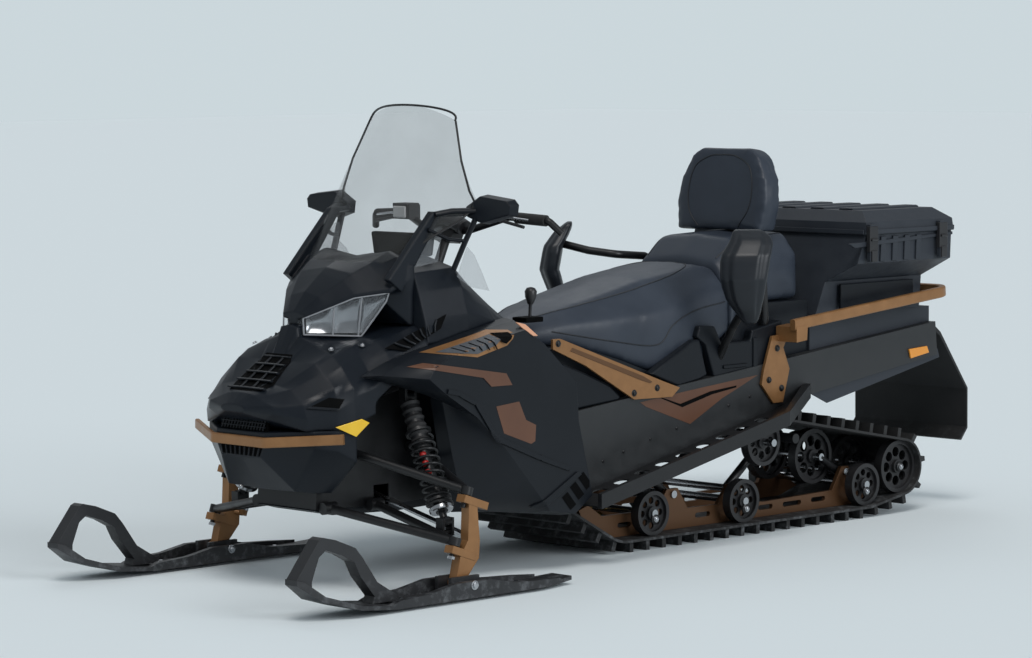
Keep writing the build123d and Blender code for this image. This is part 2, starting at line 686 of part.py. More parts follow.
# ---------------------------------------------------------------- steering
grip_in = 230.0
bar_points = [
    (-bar_half - 30, bar_y + 78, bar_z + 10), (-bar_half, bar_y + 52, bar_z + 48),
    (-grip_in, bar_y + 38, bar_z + 56), (-90, bar_y + 0, bar_z + 12),
    (90, bar_y + 0, bar_z + 12), (grip_in, bar_y + 38, bar_z + 56),
    (bar_half, bar_y + 52, bar_z + 48), (bar_half + 30, bar_y + 78, bar_z + 10),
]
with BuildPart() as handlebar:
    bent_bar(bar_points, (18, 40, 40, 40, 40, 18), bar_radius)
save(handlebar, "handlebar")
with BuildPart() as grips:
    for sign in (1, -1):
        inner = Vector(*bar_points[2])
        outer = Vector(*bar_points[1])
        flip = Vector(-sign, 1, 1)
        run = outer - inner
        near = inner + run * 0.2
        far = inner + run * 0.94
        rod((near.X * flip.X, near.Y, near.Z), (far.X * flip.X, far.Y, far.Z), grip_radius)
    add(handlebar.part, mode=Mode.SUBTRACT)
save(grips, "grips")

with BuildPart() as steering_column:
    rod(tuple(column_foot), tuple(bar_centre - column_up * 20), column_radius)
    with Locations(Plane(origin=bar_centre - column_up * 22, x_dir=X_AXIS, z_dir=column_up)):
        Box(90, 44, 44, align=(Align.CENTER, Align.CENTER, Align.MIN))
    add(handlebar.part, mode=Mode.SUBTRACT)
save(steering_column, "steering_column")

with BuildPart() as controls:
    # Brake reservoir and lever on the right, throttle block and lever on the left.
    for sign, block in ((-1, (74, 46, 44)), (1, (44, 36, 34))):
        with Locations((sign * 196, bar_y + 10, bar_z + 62)):
            Box(*block)
        rod((sign * 205, bar_y, bar_z + 52), (sign * 330, bar_y + 2, bar_z + 30), 5)
    add(handlebar.part, mode=Mode.SUBTRACT)
save(controls, "bar_controls")

# ---------------------------------------------------------------- side panels
panel_inner_x = 278.0
panel_middle_x = 318.0
panel_outer_x = 392.0
panel_inner = [
    (-1150, 630), (-1060, 664), (-947, 699), (-765, 742), (-575, 768), (-506, 714), (-373, 587),
    (-362, 452), (-335, 335), (-300, 205), (-385, 168), (-553, 186), (-800, 205), (-848, 380),
    (-880, 556), (-1010, 592),
]
panel_middle = [
    (-1105, 632), (-1040, 657), (-940, 690), (-765, 732), (-575, 762), (-506, 708), (-373, 582),
    (-362, 452), (-335, 335), (-295, 205), (-385, 160), (-550, 182), (-785, 212), (-832, 385),
    (-868, 540), (-985, 584),
]
panel_outer = [
    (-985, 618), (-960, 650), (-900, 676), (-765, 708), (-600, 738), (-520, 692), (-385, 568),
    (-378, 452), (-350, 340), (-322, 222), (-395, 172), (-500, 190), (-600, 300), (-685, 395),
    (-800, 495), (-925, 573),
]
with BuildPart() as side_panel:
    sideways_loft([
        (panel_inner_x, panel_inner), (panel_middle_x, panel_middle), (panel_outer_x, panel_outer),
    ])
    add(running_board.part, mode=Mode.SUBTRACT)
save_pair(side_panel, "side_panel")

# ---------------------------------------------------------------- hood and nose
nose_split = 480.0
cowl_rear = -905.0
with BuildPart() as nose_blank:
    lengthwise_loft([
        # y, half outline from the top centre round to the bottom centre
        (-1398, [(0, 552), (20, 551), (35, 549), (48, 545), (52, 541), (52, 536), (40, 531), (0, 530)]),
        (-1368, [(0, 584), (40, 582), (60, 578), (138, 552), (143, 540), (143, 528), (104, 511), (0, 508)]),
        (-1310, [(0, 612), (60, 613), (66, 609), (154, 596), (212, 556), (226, 515), (222, 480), (0, 480)]),
        (-1230, [(0, 667), (64, 672), (70, 668), (172, 667), (255, 600), (270, 540), (268, 480), (0, 480)]),
        (-1180, [(0, 768), (36, 762), (42, 736), (190, 688), (230, 659), (282, 600), (287, 480), (0, 480)]),
        (-1105, [(0, 775), (32, 770), (36, 737), (196, 712), (242, 664), (292, 600), (292, 520), (0, 520)]),
        (-1035, [(0, 736), (60, 735), (155, 733), (215, 727), (262, 692), (290, 655), (290, 600), (0, 600)]),
        (cowl_rear, [(0, 765), (150, 765), (175, 764), (240, 762), (280, 745), (300, 712), (300, 640),
                     (0, 640)]),
    ])
    add(front_frame.part, mode=Mode.SUBTRACT)
    add(side_panel.part, mode=Mode.SUBTRACT)
    mirror(side_panel.part, about=Plane.YZ, mode=Mode.SUBTRACT)
    nose_body = nose_blank.part.solids().sort_by(SortBy.VOLUME)[-1]
with BuildPart() as nose_cover:
    add(nose_body)
save(nose_cover, "nose_cover")

bumper_front_y = -1376.0
bumper_z = 445.0
bumper_deep = 14.0
bumper_corner = 116.0
bumper_end = 330.0
bumper_end_y = -1262.0
lower_top = nose_split - seat_gap
nose_front = bumper_front_y + bumper_deep / 2 + seat_gap
with BuildPart() as lower_nose:
    lengthwise_loft([
        (nose_front, [(0, 472), (108, 472), (110, 436), (90, 400), (0, 396)]),
        (-1292, [(0, lower_top), (236, lower_top), (236, 430), (150, 300), (0, 296)]),
        (-1230, [(0, lower_top), (268, lower_top), (264, 420), (165, 290), (0, 286)]),
        (-1172, [(0, lower_top), (286, lower_top), (284, 385), (175, 288), (0, 286)]),
    ])
    add(front_frame.part, mode=Mode.SUBTRACT)
    with Locations((0, -1185, 380)):
        Box(2 * plate_outer + 1, 60, 240, mode=Mode.SUBTRACT)
save(lower_nose, "lower_nose")

with BuildPart() as front_bumper:
    bent_bar(
        [(-bumper_end, bumper_end_y, bumper_z + 16), (-bumper_corner, bumper_front_y, bumper_z),
         (bumper_corner, bumper_front_y, bumper_z), (bumper_end, bumper_end_y, bumper_z + 16)],
        (30, 30), bumper_deep, 30,
    )
    add(lower_nose.part, mode=Mode.SUBTRACT)
save(front_bumper, "front_bumper")

belly_half = arm_inner_x - barrel_radius - 6
with BuildPart() as belly_pan:
    side_plate([(-1203, 233), (-1130, 214), (-880, 204), (tunnel_front, 216), (tunnel_front, 239),
                (-900, 225.7), (-1200, 235.7)], -belly_half, belly_half)
save(belly_pan, "belly_pan")

# ---------------------------------------------------------------- windscreen, cowl, headlights
screen_base = 900.0
screen_corner = (189.0, 1356.0)
with BuildPart() as screen_blank:
    base_front = screen_top_y - (screen_top - screen_base) * screen_rake
    with BuildSketch(Plane.XY.offset(screen_base)) as arc_band:
        with Locations((0, base_front + screen_radius)):
            Circle(screen_radius)
            Circle(screen_radius - screen_sheet, mode=Mode.SUBTRACT)
            Rectangle(3 * screen_radius, 2 * screen_radius, align=(Align.CENTER, Align.MIN),
                      mode=Mode.SUBTRACT)
    extrude(amount=(screen_top - screen_base + 5) * hypot(1, screen_rake), dir=(0, screen_rake, 1))
    with BuildSketch(Plane.XZ.offset(500)) as screen_view:
        with BuildLine():
            ThreePointArc((-screen_corner[0], screen_corner[1]), (0, screen_top), screen_corner)
            Polyline(screen_corner, (300, 1110), (282, 1060), (222, 985), (150, 935), (-150, 935),
                     (-222, 985), (-282, 1060), (-300, 1110), (-screen_corner[0], screen_corner[1]))
        make_face()
    extrude(screen_view.sketch, amount=700, mode=Mode.INTERSECT)

fin_inner = 214.0
fin_outer = 238.0
lamp_rows = (
    # y, lens foot's x and z, lens top's x and z, lamp's inner x
    (-1163, 46, 740, 43, 787, 18),
    (-1120, 83, 738, 87, 811, 33),
    (-1059, 135, 735, 150, 846, 78),
    (-1035, 155, 734, 174, 851, 98),
    (-985, 218, 845, 224, 861, 180),
)
cowl_rows = (
    # y, centre's z, shoulder's x and z
    (-1163, 806, 24, 803),
    (-1120, 862, 60, 850),
    (-1059, 912, 100, 897),
    (-1035, 930, 112, 915),
    (-985, 952, 135, 942),
)
visor_lip = 4.0              # the visor stands out this much over the lens
cowl_sections = []
for (y, foot_x, foot_z, top_x, top_z, inner), (_, centre_z, shoulder_x, shoulder_z) in zip(lamp_rows, cowl_rows):
    cowl_sections.append((y, [
        (0, centre_z), (shoulder_x, shoulder_z), (top_x + visor_lip, top_z + 3 * visor_lip),
        (top_x + visor_lip, top_z), (inner, top_z - visor_lip), (inner, foot_z), (0, foot_z),
    ]))
cowl_sections.append((-919, [(0, 955), (140, 976), (240, 940), (242, 900), (238, 850), (236, 765), (0, 765)]))
cowl_sections.append((cowl_rear, [(0, 957), (140, 977), (242, 940), (244, 900), (240, 850), (238, 764), (0, 764)]))
with BuildPart() as cowl:
    lengthwise_loft(cowl_sections)
    add(nose_cover.part, mode=Mode.SUBTRACT)
    fin = [(-1000, 900), (-905, 1003), (-822, 1092), (-786, 1090), (-850, 1000), (-905, 925), (-950, 862)]
    side_plate(fin, fin_inner, fin_outer)
    side_plate(fin, -fin_outer, -fin_inner)
    cowl_body = cowl.part.solids().sort_by(SortBy.VOLUME)[-1]
with BuildPart() as cowl_piece:
    add(cowl_body)
save(cowl_piece, "cowl")

with BuildPart() as windscreen:
    add(screen_blank.part)
    add(cowl_body, mode=Mode.SUBTRACT)
    screen_piece = windscreen.part.solids().sort_by(SortBy.VOLUME)[-1]
with BuildPart() as windscreen_piece:
    add(screen_piece)
save(windscreen_piece, "windscreen")

with BuildPart() as headlight_blanks:
    lamp_sections = []
    for y, foot_x, foot_z, top_x, top_z, inner in lamp_rows:
        with BuildSketch(Plane(origin=(0, y, 0), x_dir=X_AXIS, z_dir=(0, -1, 0))) as lamp_section:
            Polygon((inner - 2, foot_z), (foot_x, foot_z), (top_x, top_z), (inner - 2, top_z), align=None)
        lamp_sections.append(lamp_section.sketch)
    loft(lamp_sections, ruled=True)
    add(cowl_body, mode=Mode.SUBTRACT)
    add(nose_cover.part, mode=Mode.SUBTRACT)
    lamp = headlight_blanks.part.solids().sort_by(SortBy.VOLUME)[-1]
with BuildPart() as headlight:
    add(lamp)
save_both(headlight, "headlights")

mirror_back = -684.0
mirror_depth = 34.0
with BuildPart() as mirror_piece:
    with BuildSketch(Plane.XZ.offset(-mirror_back)) as mirror_face:
        Polygon((262, 1106), (325, 1140), (440, 1128), (457, 1112), (452, 1080), (330, 1052), (268, 1070),
                align=None)
    extrude(mirror_face.sketch, amount=mirror_depth, taper=8)
    rod((280, -690, 1085), (fin_outer - 8, -804, 1083), 9)
    add(cowl_body, mode=Mode.SUBTRACT)
    add(screen_blank.part, mode=Mode.SUBTRACT)
save_both(mirror_piece, "mirrors")

with BuildPart() as console:
    lengthwise_loft([
        (cowl_rear + seat_gap, [(0, 940), (150, 945), (238, 915), (262, 850), (290, 765), (298, 712), (270, 690),
                                (0, 690)]),
        (-745, [(0, 955), (120, 955), (240, 925), (275, 870), (300, 790), (302, 720), (270, 690), (0, 690)]),
        (-620, [(0, 890), (100, 885), (190, 850), (250, 800), (285, 760), (285, 720), (265, 690), (0, 690)]),
        (-430, [(0, 760), (70, 758), (120, 745), (150, 735), (185, 705), (200, 670), (200, 640), (0, 640)]),
    ])
    add(side_panel.part, mode=Mode.SUBTRACT)
    mirror(side_panel.part, about=Plane.YZ, mode=Mode.SUBTRACT)
    with Locations(column_plane):
        Cylinder(column_radius + 12, column_length, align=(Align.CENTER, Align.CENTER, Align.MIN),
                 mode=Mode.SUBTRACT)
    add(front_frame.part, mode=Mode.SUBTRACT)
save(console, "console")

# ---------------------------------------------------------------- seats
seat_half = 238.0
seat_front = -400.0
seat_step = 470.0
seat_rear = 830.0
seat_rows = (
    # y, top, top's half width, shoulder z, half width, underside
    (seat_front, 706, 60, 690, 90, 660),
    (-260, 750, 100, 715, 150, 655),
    (-199, 768, 112, 722, 172, 650),
    (-40, 804, 130, 725, 212, 605),
    (150, 846, 140, 735, 232, 540),
    (320, 869, 150, 765, seat_half, 553),
    (seat_step, 884, 160, 790, seat_half, 665),
)
rear_rows = (
    (seat_step + seat_gap, 884, 160, 790, seat_half, 665),
    (560, 962, 150, 880, 215, 745),
    (seat_rear, 972, 150, 890, 205, 745),
)


def seat_sections(rows):
    """Half outlines of a seat cushion, from its table of rows."""
    return [
        (y, [(0, top), (top_half, top - 12), (half, shoulder), (half, under), (0, under)])
        for y, top, top_half, shoulder, half, under in rows
    ]


with BuildPart() as driver_seat:
    lengthwise_loft(seat_sections(seat_rows))
save(driver_seat, "driver_seat")
with BuildPart() as passenger_seat:
    lengthwise_loft(seat_sections(rear_rows))
save(passenger_seat, "passenger_seat")

base_half = 232.0
base_front = -425.0
base_rear = 840.0
under_line = [(row[0], row[5] - seat_gap) for row in (*seat_rows[1:], *rear_rows[1:])]
with BuildPart() as seat_base:
    side_plate([(base_front, tunnel_top(base_front) + seat_gap), (base_front, 655 - seat_gap), *under_line,
                (base_rear, 745 - seat_gap), (base_rear, tunnel_top(base_rear) + seat_gap)],
               -base_half, base_half)
save(seat_base, "seat_base")

back_outline = [(-120, 0), (120, 0), (185, 40), (202, 150), (190, 230), (150, 305), (110, 332),
                (-110, 332), (-150, 305), (-190, 230), (-202, 150), (-185, 40)]
with BuildPart() as backrest:
    with BuildSketch(Plane(origin=(0, 728, 905), x_dir=X_AXIS, z_dir=(0, -1, 0.15))) as back_face:
        Polygon(*back_outline, align=None)
    extrude(back_face.sketch, amount=80)
    split(bisect_by=Plane(origin=(0, 0, 969 + seat_gap), z_dir=(0, 0, 1)), keep=Keep.TOP)
save(backrest, "backrest")

# ---------------------------------------------------------------- struts and hand holds
with BuildPart() as side_strut:
    with BuildSketch(Plane.YZ.offset(tunnel_half + seat_gap)) as strut_view:
        Polygon((-372, 690), (-340, 690), (110, 530), (185, 505), (150, 478), (-20, 482), (-230, 600),
                (-372, 660), align=None)
    extrude(strut_view.sketch, amount=9)
    add(side_panel.part, mode=Mode.SUBTRACT)
save_both(side_strut, "side_struts")

hold_x = 252.0
hold_radius = 13.0
with BuildPart() as hand_hold:
    bent_bar([(412, 356, 925), (330, 392, 905), (hold_x, 440, 893), (hold_x, 596, 880), (hold_x, 610, 690),
              (base_half - 10, 612, 650)], (40, 40, 30, 14), hold_radius)
    bent_bar([(408, 348, 760), (330, 375, 690), (base_half - 10, 400, 545)], (40,), hold_radius)
    add(seat_base.part, mode=Mode.SUBTRACT)
    add(driver_seat.part, mode=Mode.SUBTRACT)
    add(passenger_seat.part, mode=Mode.SUBTRACT)
    hold_body = hand_hold.part.solids().sort_by(SortBy.VOLUME)
with BuildPart() as hand_hold_pair:
    for tube in hold_body[-2:]:
        add(tube)
save_both(hand_hold_pair, "hand_holds")
guard_turn = 45.0
guard_rows = (
    # z, middle's x and y, width, thickness
    (700, 402, 362, 110, 34),
    (760, 417, 338, 146, 50),
    (843, 435, 319, 160, 56),
    (920, 430, 334, 150, 50),
    (998, 406, 380, 96, 34),
)
with BuildPart() as hand_guard:
    guard_sections = []
    for z, x, y, width, thickness in guard_rows:
        with BuildSketch(Plane.XY.offset(z)) as guard_section:
            with Locations((x, y)):
                Rectangle(width, thickness, rotation=guard_turn)
        guard_sections.append(guard_section.sketch)
    loft(guard_sections, ruled=True)
    add(hand_hold_pair.part, mode=Mode.SUBTRACT)
save_both(hand_guard, "hand_guards")

# ---------------------------------------------------------------- rear bumper, flap, lamp, hitch
bumper_half = 345.0
bumper_rear = 1432.0
bumper_start = 640.0
bumper_wide = 22.0
bumper_tall = 36.0
bumper_path = [(bumper_half, bumper_start, 678), (bumper_half, bumper_rear, 750),
               (-bumper_half, bumper_rear, 750), (-bumper_half, bumper_start, 678)]
with BuildPart() as rear_bumper:
    bent_bar(bumper_path, (60, 60), bumper_wide, bumper_tall)
save(rear_bumper, "rear_bumper")
with BuildPart() as bumper_seat:
    bent_bar(bumper_path, (60, 60), bumper_wide + 2 * seat_gap, bumper_tall + 2 * seat_gap)
with BuildPart() as bumper_bracket:
    side_plate([(617, 640), (700, 647), (670, 600), (700, 530), (668, 424), (622, 424), (566, 487),
                (576, 531)], tunnel_half + seat_gap, tunnel_half + 10)
    side_plate([(646, 622), (696, 627), (700, 676), (646, 671)], tunnel_half + seat_gap, bumper_half + 12)
    add(bumper_seat.part, mode=Mode.SUBTRACT)
save_both(bumper_bracket, "bumper_brackets")

hitch_bore = 8.0
hitch_z = 560.0
hitch_gap = 28.0
hitch_plate = 8.0
hitch_y = tunnel_rear + 90
hitch_root = tunnel_rear - 58
with BuildPart() as tow_hitch:
    for plate_z in (hitch_z - hitch_gap / 2 - hitch_plate, hitch_z + hitch_gap / 2):
        with Locations((0, hitch_root, plate_z)):
            Box(60, hitch_y + 24 - hitch_root, hitch_plate, align=(Align.CENTER, Align.MIN, Align.MIN))
    hitch_foot = hitch_z - hitch_gap / 2 - hitch_plate
    with Locations((0, hitch_root, hitch_foot)):
        Box(60, 30, tunnel_top(hitch_root) - sheet - seat_gap - hitch_foot,
            align=(Align.CENTER, Align.MIN, Align.MIN))
    with Locations((0, hitch_y, hitch_foot - 1)):
        Cylinder(hitch_bore, hitch_gap + 2 * hitch_plate + 2, align=(Align.CENTER, Align.CENTER, Align.MIN),
                 mode=Mode.SUBTRACT)
save(tow_hitch, "tow_hitch")

with BuildPart() as snow_flap:
    side_plate([(tunnel_rear + seat_gap, 638), (1500, 600), (1646, 400), (1646, 262), (1612, 222),
                (1606, 226), (1640, 266), (1640, 396), (1494, 590), (tunnel_rear + seat_gap, 618)],
               -250, 250)
    with Locations((0, tunnel_rear + 70, hitch_z + 2)):
        Box(100, 130, 84, mode=Mode.SUBTRACT)
save(snow_flap, "snow_flap")

# ---------------------------------------------------------------- cargo box
lower_box_half = 250.0
hinge_x = -(box_half + 16)
hinge_z = box_seam - 2
hinge_radius = 9.0
hinge_pin = 4.0
knuckle = 30.0
hinge_rows = (1030.0, 1260.0)
box_levels = (
    # z, half width, front, rear
    (box_floor, lower_box_half, 858, 1385),
    (800, lower_box_half + 6, 899, 1388),
    (862, box_half - 4, 922, box_rear),
    (box_seam, box_half, box_front, box_rear),
)


def level_loft(levels, mode=Mode.ADD):
    """Faceted body through level rectangles: each row is its Z, half width, front Y and rear Y."""
    sections = []
    for z, half, front, rear in levels:
        with BuildSketch(Plane.XY.offset(z)) as section:
            with Locations((0, (front + rear) / 2)):
                Rectangle(2 * half, rear - front)
        sections.append(section.sketch)
    loft(sections, ruled=True, mode=mode)


with BuildPart() as cargo_box:
    level_loft(box_levels)
    level_loft([
        (z + (box_wall if z == box_floor else 0.01 if z == box_seam else 0), half - box_wall,
         front + box_wall, rear - box_wall)
        for z, half, front, rear in box_levels
    ], mode=Mode.SUBTRACT)
    for y in hinge_rows:
        rod((hinge_x, y, hinge_z), (hinge_x, y + knuckle, hinge_z), hinge_radius)
        rod((hinge_x, y, hinge_z), (hinge_x, y + 2 * knuckle, hinge_z), hinge_pin)
        with Locations((hinge_x, y, hinge_z - 1)):
            Box(-hinge_x - box_half + 1, knuckle, 8, align=(Align.MIN, Align.MIN, Align.MAX))
save(cargo_box, "cargo_box")

lid_base = box_seam + seat_gap
lid_levels = (
    (lid_base, box_half + 6, box_front - 6, box_rear + 6),
    (lid_base + 40, box_half + 2, box_front, box_rear + 2),
    (lid_base + lid_crown, box_half - 50, box_front + 40, box_rear - 40),
)
with BuildPart() as cargo_lid:
    level_loft(lid_levels)
    level_loft([
        (z - (0.01 if z == lid_base else box_wall if z > lid_base + 41 else 0), half - box_wall,
         front + box_wall, rear - box_wall)
        for z, half, front, rear in lid_levels
    ], mode=Mode.SUBTRACT)
    for y in hinge_rows:
        start = y + knuckle + 0.5
        rod((hinge_x, start, hinge_z), (hinge_x, start + knuckle, hinge_z), hinge_radius)
        with Locations((hinge_x, start, lid_base)):
            Box(-hinge_x - box_half, knuckle, 7, align=(Align.MIN, Align.MIN, Align.MIN))
        rod((hinge_x, start - 1, hinge_z), (hinge_x, start + knuckle + 1, hinge_z), hinge_pin + running_gap,
            mode=Mode.SUBTRACT)
save(cargo_lid, "cargo_lid")

latch_rows = (975.0, 1330.0)
with BuildPart() as lid_latches:
    for y in latch_rows:
        with Locations((box_half + 6 + seat_gap, y, box_seam + 34)):
            Box(14, 36, 120, align=(Align.MIN, Align.CENTER, Align.MAX))
save(lid_latches, "lid_latches")

with BuildPart() as box_deck:
    side_plate([(base_rear + seat_gap, tunnel_top(base_rear) + 1), (tunnel_rear, tunnel_top_rear + seat_gap),
                (tunnel_rear, box_floor - seat_gap), (base_rear + seat_gap, box_floor - seat_gap)],
               -240, 240)
save(box_deck, "box_deck")
with BuildPart() as tail_lamp:
    with Locations((0, tunnel_rear + seat_gap, 668)):
        Box(360, 26, 36, align=(Align.CENTER, Align.MIN, Align.CENTER))
save(tail_lamp, "tail_lamp")
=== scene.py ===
"""Visual model of a two-seat utility snowmobile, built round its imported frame."""

import json
import logging
from collections.abc import Iterable
from dataclasses import dataclass
from enum import Enum
from math import cos, pi, radians, sin

import bmesh
import bpy
import numpy as np
from mathutils import Matrix, Vector
from mathutils.bvhtree import BVHTree


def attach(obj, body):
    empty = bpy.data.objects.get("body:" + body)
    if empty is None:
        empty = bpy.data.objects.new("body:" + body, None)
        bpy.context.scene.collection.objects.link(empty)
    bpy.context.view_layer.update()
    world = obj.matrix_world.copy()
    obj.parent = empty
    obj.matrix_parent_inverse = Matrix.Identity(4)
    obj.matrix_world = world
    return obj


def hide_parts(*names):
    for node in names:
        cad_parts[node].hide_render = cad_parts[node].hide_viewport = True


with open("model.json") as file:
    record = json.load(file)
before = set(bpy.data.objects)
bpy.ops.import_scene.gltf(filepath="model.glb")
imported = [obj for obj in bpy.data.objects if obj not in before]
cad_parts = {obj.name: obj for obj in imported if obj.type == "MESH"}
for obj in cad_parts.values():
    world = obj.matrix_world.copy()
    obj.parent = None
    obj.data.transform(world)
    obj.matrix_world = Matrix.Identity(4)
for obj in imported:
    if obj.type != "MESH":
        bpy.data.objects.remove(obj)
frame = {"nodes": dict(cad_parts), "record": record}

LOG = logging.getLogger("snowmobile")
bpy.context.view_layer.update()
MM = 0.001

Array = np.ndarray
Colour = tuple[float, float, float]
Flat = list[tuple[float, float]]
Material = bpy.types.Material
Piece = bpy.types.Object
Point = tuple[float, float, float]
Tree = bpy.types.NodeTree


# ---------------------------------------------------------------- finishes


class Texture(Enum):
    """Surface patterns that a finish can carry."""

    SATIN = "satin"
    MOULDED = "moulded"
    VINYL = "vinyl"
    BRUSHED = "brushed"
    RUBBER = "rubber"
    POWDER = "powder"


@dataclass(frozen=True)
class Pattern:
    """Numbers that turn one surface pattern into noise and relief."""

    scale: float
    stretch: Point
    depth: float
    spread: float


EVEN: Point = (1.0, 1.0, 1.0)
PATTERNS: dict[Texture, Pattern] = {
    Texture.SATIN: Pattern(420.0, EVEN, 0.00004, 0.07),
    Texture.MOULDED: Pattern(900.0, EVEN, 0.00016, 0.10),
    Texture.VINYL: Pattern(520.0, EVEN, 0.00022, 0.08),
    Texture.BRUSHED: Pattern(260.0, (1.0, 0.08, 1.0), 0.00003, 0.12),
    Texture.RUBBER: Pattern(240.0, EVEN, 0.00030, 0.12),
    Texture.POWDER: Pattern(1300.0, EVEN, 0.00008, 0.06),
}
SNOW: Colour = (0.62, 0.66, 0.70)
COAT_ROUGHNESS = 0.12
SMEAR_SCALE = 240.0
CLOUD_SHARE = 60.0
SPECK_SCALE = 26.0


def add(tree: Tree, kind: str, inputs: dict[str | int, object], **settings: object) -> bpy.types.Node:
    """Add a shader node.

    Args:
        tree: The tree that it is added to.
        kind: Its type, without the leading "ShaderNode".
        inputs: For each input, by name or number, its value or the socket that feeds it.
        settings: Its other settings.

    Returns:
        The node.
    """
    made = tree.nodes.new(f"ShaderNode{kind}")
    for name, value in settings.items():
        setattr(made, name, value)
    feed(tree, made, inputs)
    return made


def feed(tree: Tree, node: bpy.types.Node, inputs: dict[str | int, object]) -> None:
    """Set or link a node's inputs.

    Args:
        tree: The tree that holds the node.
        node: The node.
        inputs: For each input, by name or number, its value or the socket that feeds it.
    """
    for name, value in inputs.items():
        if isinstance(value, bpy.types.NodeSocket):
            tree.links.new(value, node.inputs[name])
        else:
            node.inputs[name].default_value = value


def socketed_group(name: str, inputs: dict[str, str], outputs: dict[str, str]) -> Tree:
    """Make an empty shader group with named sockets.

    Args:
        name: Name of the group.
        inputs: Socket type of each input, by its name.
        outputs: Socket type of each output, by its name.

    Returns:
        The group, with its input and output nodes named "in" and "out".
    """
    group = bpy.data.node_groups.new(name, "ShaderNodeTree")
    for way, sockets in (("INPUT", inputs), ("OUTPUT", outputs)):
        for socket, kind in sockets.items():
            group.interface.new_socket(name=socket, in_out=way, socket_type=f"NodeSocket{kind}")
    group.nodes.new("NodeGroupInput").name = "in"
    group.nodes.new("NodeGroupOutput").name = "out"
    return group


def grain_group() -> Tree:
    """Make the group that gives fine relief and slow cloudy variation.

    Height is fine noise. Cloud is noise 60 times coarser, stretched to the range 0 to 1.

    Returns:
        The group, with inputs Vector and Scale and outputs Height and Cloud.
    """
    group = socketed_group("surface grain", {"Vector": "Vector", "Scale": "Float"},
                           {"Height": "Float", "Cloud": "Float"})
    given = group.nodes["in"].outputs
    fine = add(group, "TexNoise", {"Vector": given["Vector"], "Scale": given["Scale"], "Detail": 3.0})
    slow = add(group, "Math", {0: given["Scale"], 1: CLOUD_SHARE}, operation="DIVIDE")
    cloud = add(group, "TexNoise", {"Vector": given["Vector"], "Scale": slow.outputs[0], "Detail": 5.0,
                                    "Roughness": 0.6})
    wide = add(group, "MapRange", {"Value": cloud.outputs["Fac"], "From Min": 0.3, "From Max": 0.7})
    feed(group, group.nodes["out"], {"Height": fine.outputs["Fac"], "Cloud": wide.outputs["Result"]})
    return group


def frost_group() -> Tree:
    """Make the group that says where fine snow and dried salt cling.

    The mask is the top of a noise, times how far the point is below a height, so low pieces are
    dustier, times the amount.

    Returns:
        The group, with inputs Vector, Top and Amount and output Mask.
    """
    group = socketed_group("frost", {"Vector": "Vector", "Top": "Float", "Amount": "Float"},
                           {"Mask": "Float"})
    given = group.nodes["in"].outputs
    split = add(group, "SeparateXYZ", {0: given["Vector"]})
    low = add(group, "MapRange", {"Value": split.outputs["Z"], "From Max": given["Top"], "To Min": 1.0,
                                  "To Max": 0.0})
    speck = add(group, "TexNoise", {"Vector": given["Vector"], "Scale": SPECK_SCALE, "Detail": 9.0,
                                    "Roughness": 0.72})
    high = add(group, "MapRange", {"Value": speck.outputs["Fac"], "From Min": 0.5, "From Max": 0.72})
    both = add(group, "Math", {0: low.outputs["Result"], 1: high.outputs["Result"]}, operation="MULTIPLY")
    share = add(group, "Math", {0: both.outputs[0], 1: given["Amount"]}, operation="MULTIPLY")
    feed(group, group.nodes["out"], {"Mask": share.outputs[0]})
    return group


GRAIN = grain_group()
FROST = frost_group()


@dataclass(frozen=True)
class Finish:
    """One finish: its colour, gloss, pattern and the record's slot it belongs to."""

    name: str
    slot: str
    colour: Colour
    shade: Colour
    roughness: float
    texture: Texture
    metallic: float = 0.0
    coat: float = 0.0
    specular: float = 0.5
    edge: float = 0.0
    frost: float = 0.0
    frost_top: float = 0.5

    def material(self) -> Material:
        """Build the node material once, and give the same one from then on."""
        return bpy.data.materials.get(self.name) or self._build()

    def _build(self) -> Material:
        """Build the node material.

        Colour runs from shade to colour with the grain's cloud, then to snow where frost clings.
        Roughness follows the cloud, the grain's height is the relief, and edges as wide as edge are
        shaded round.

        Returns:
            The material.
        """
        pattern = PATTERNS[self.texture]
        made = bpy.data.materials.new(self.name)
        made.use_nodes = True
        tree = made.node_tree
        where = add(tree, "TexCoord", {}).outputs["Object"]
        mapping = add(tree, "Mapping", {"Vector": where, "Scale": pattern.stretch})
        grain = add(tree, "Group", {}, node_tree=GRAIN)
        feed(tree, grain, {"Scale": pattern.scale, "Vector": mapping.outputs["Vector"]})
        cloud = grain.outputs["Cloud"]
        tint = add(tree, "Mix", {"A": (*self.shade, 1.0), "B": (*self.colour, 1.0), "Factor": cloud},
                   data_type="RGBA")
        gloss = add(tree, "MapRange", {"Value": cloud, "To Min": max(0.02, self.roughness - pattern.spread),
                                       "To Max": min(1.0, self.roughness + pattern.spread)})
        colour = tint.outputs["Result"]
        if self.frost > 0:
            snow = add(tree, "Group", {}, node_tree=FROST)
            feed(tree, snow, {"Top": self.frost_top, "Amount": self.frost, "Vector": where})
            colour = add(tree, "Mix", {"A": colour, "B": (*SNOW, 1.0), "Factor": snow.outputs["Mask"]},
                         data_type="RGBA").outputs["Result"]
        relief = add(tree, "Bump", {"Distance": pattern.depth, "Height": grain.outputs["Height"]})
        if self.edge > 0:
            rounded = add(tree, "Bevel", {"Radius": self.edge}, samples=4)
            feed(tree, relief, {"Normal": rounded.outputs["Normal"]})
        feed(tree, tree.nodes["Principled BSDF"], {
            "Metallic": self.metallic, "Coat Weight": self.coat, "Coat Roughness": COAT_ROUGHNESS,
            "Specular IOR Level": self.specular, "Base Color": colour, "Roughness": gloss.outputs["Result"],
            "Normal": relief.outputs["Normal"],
        })
        return made


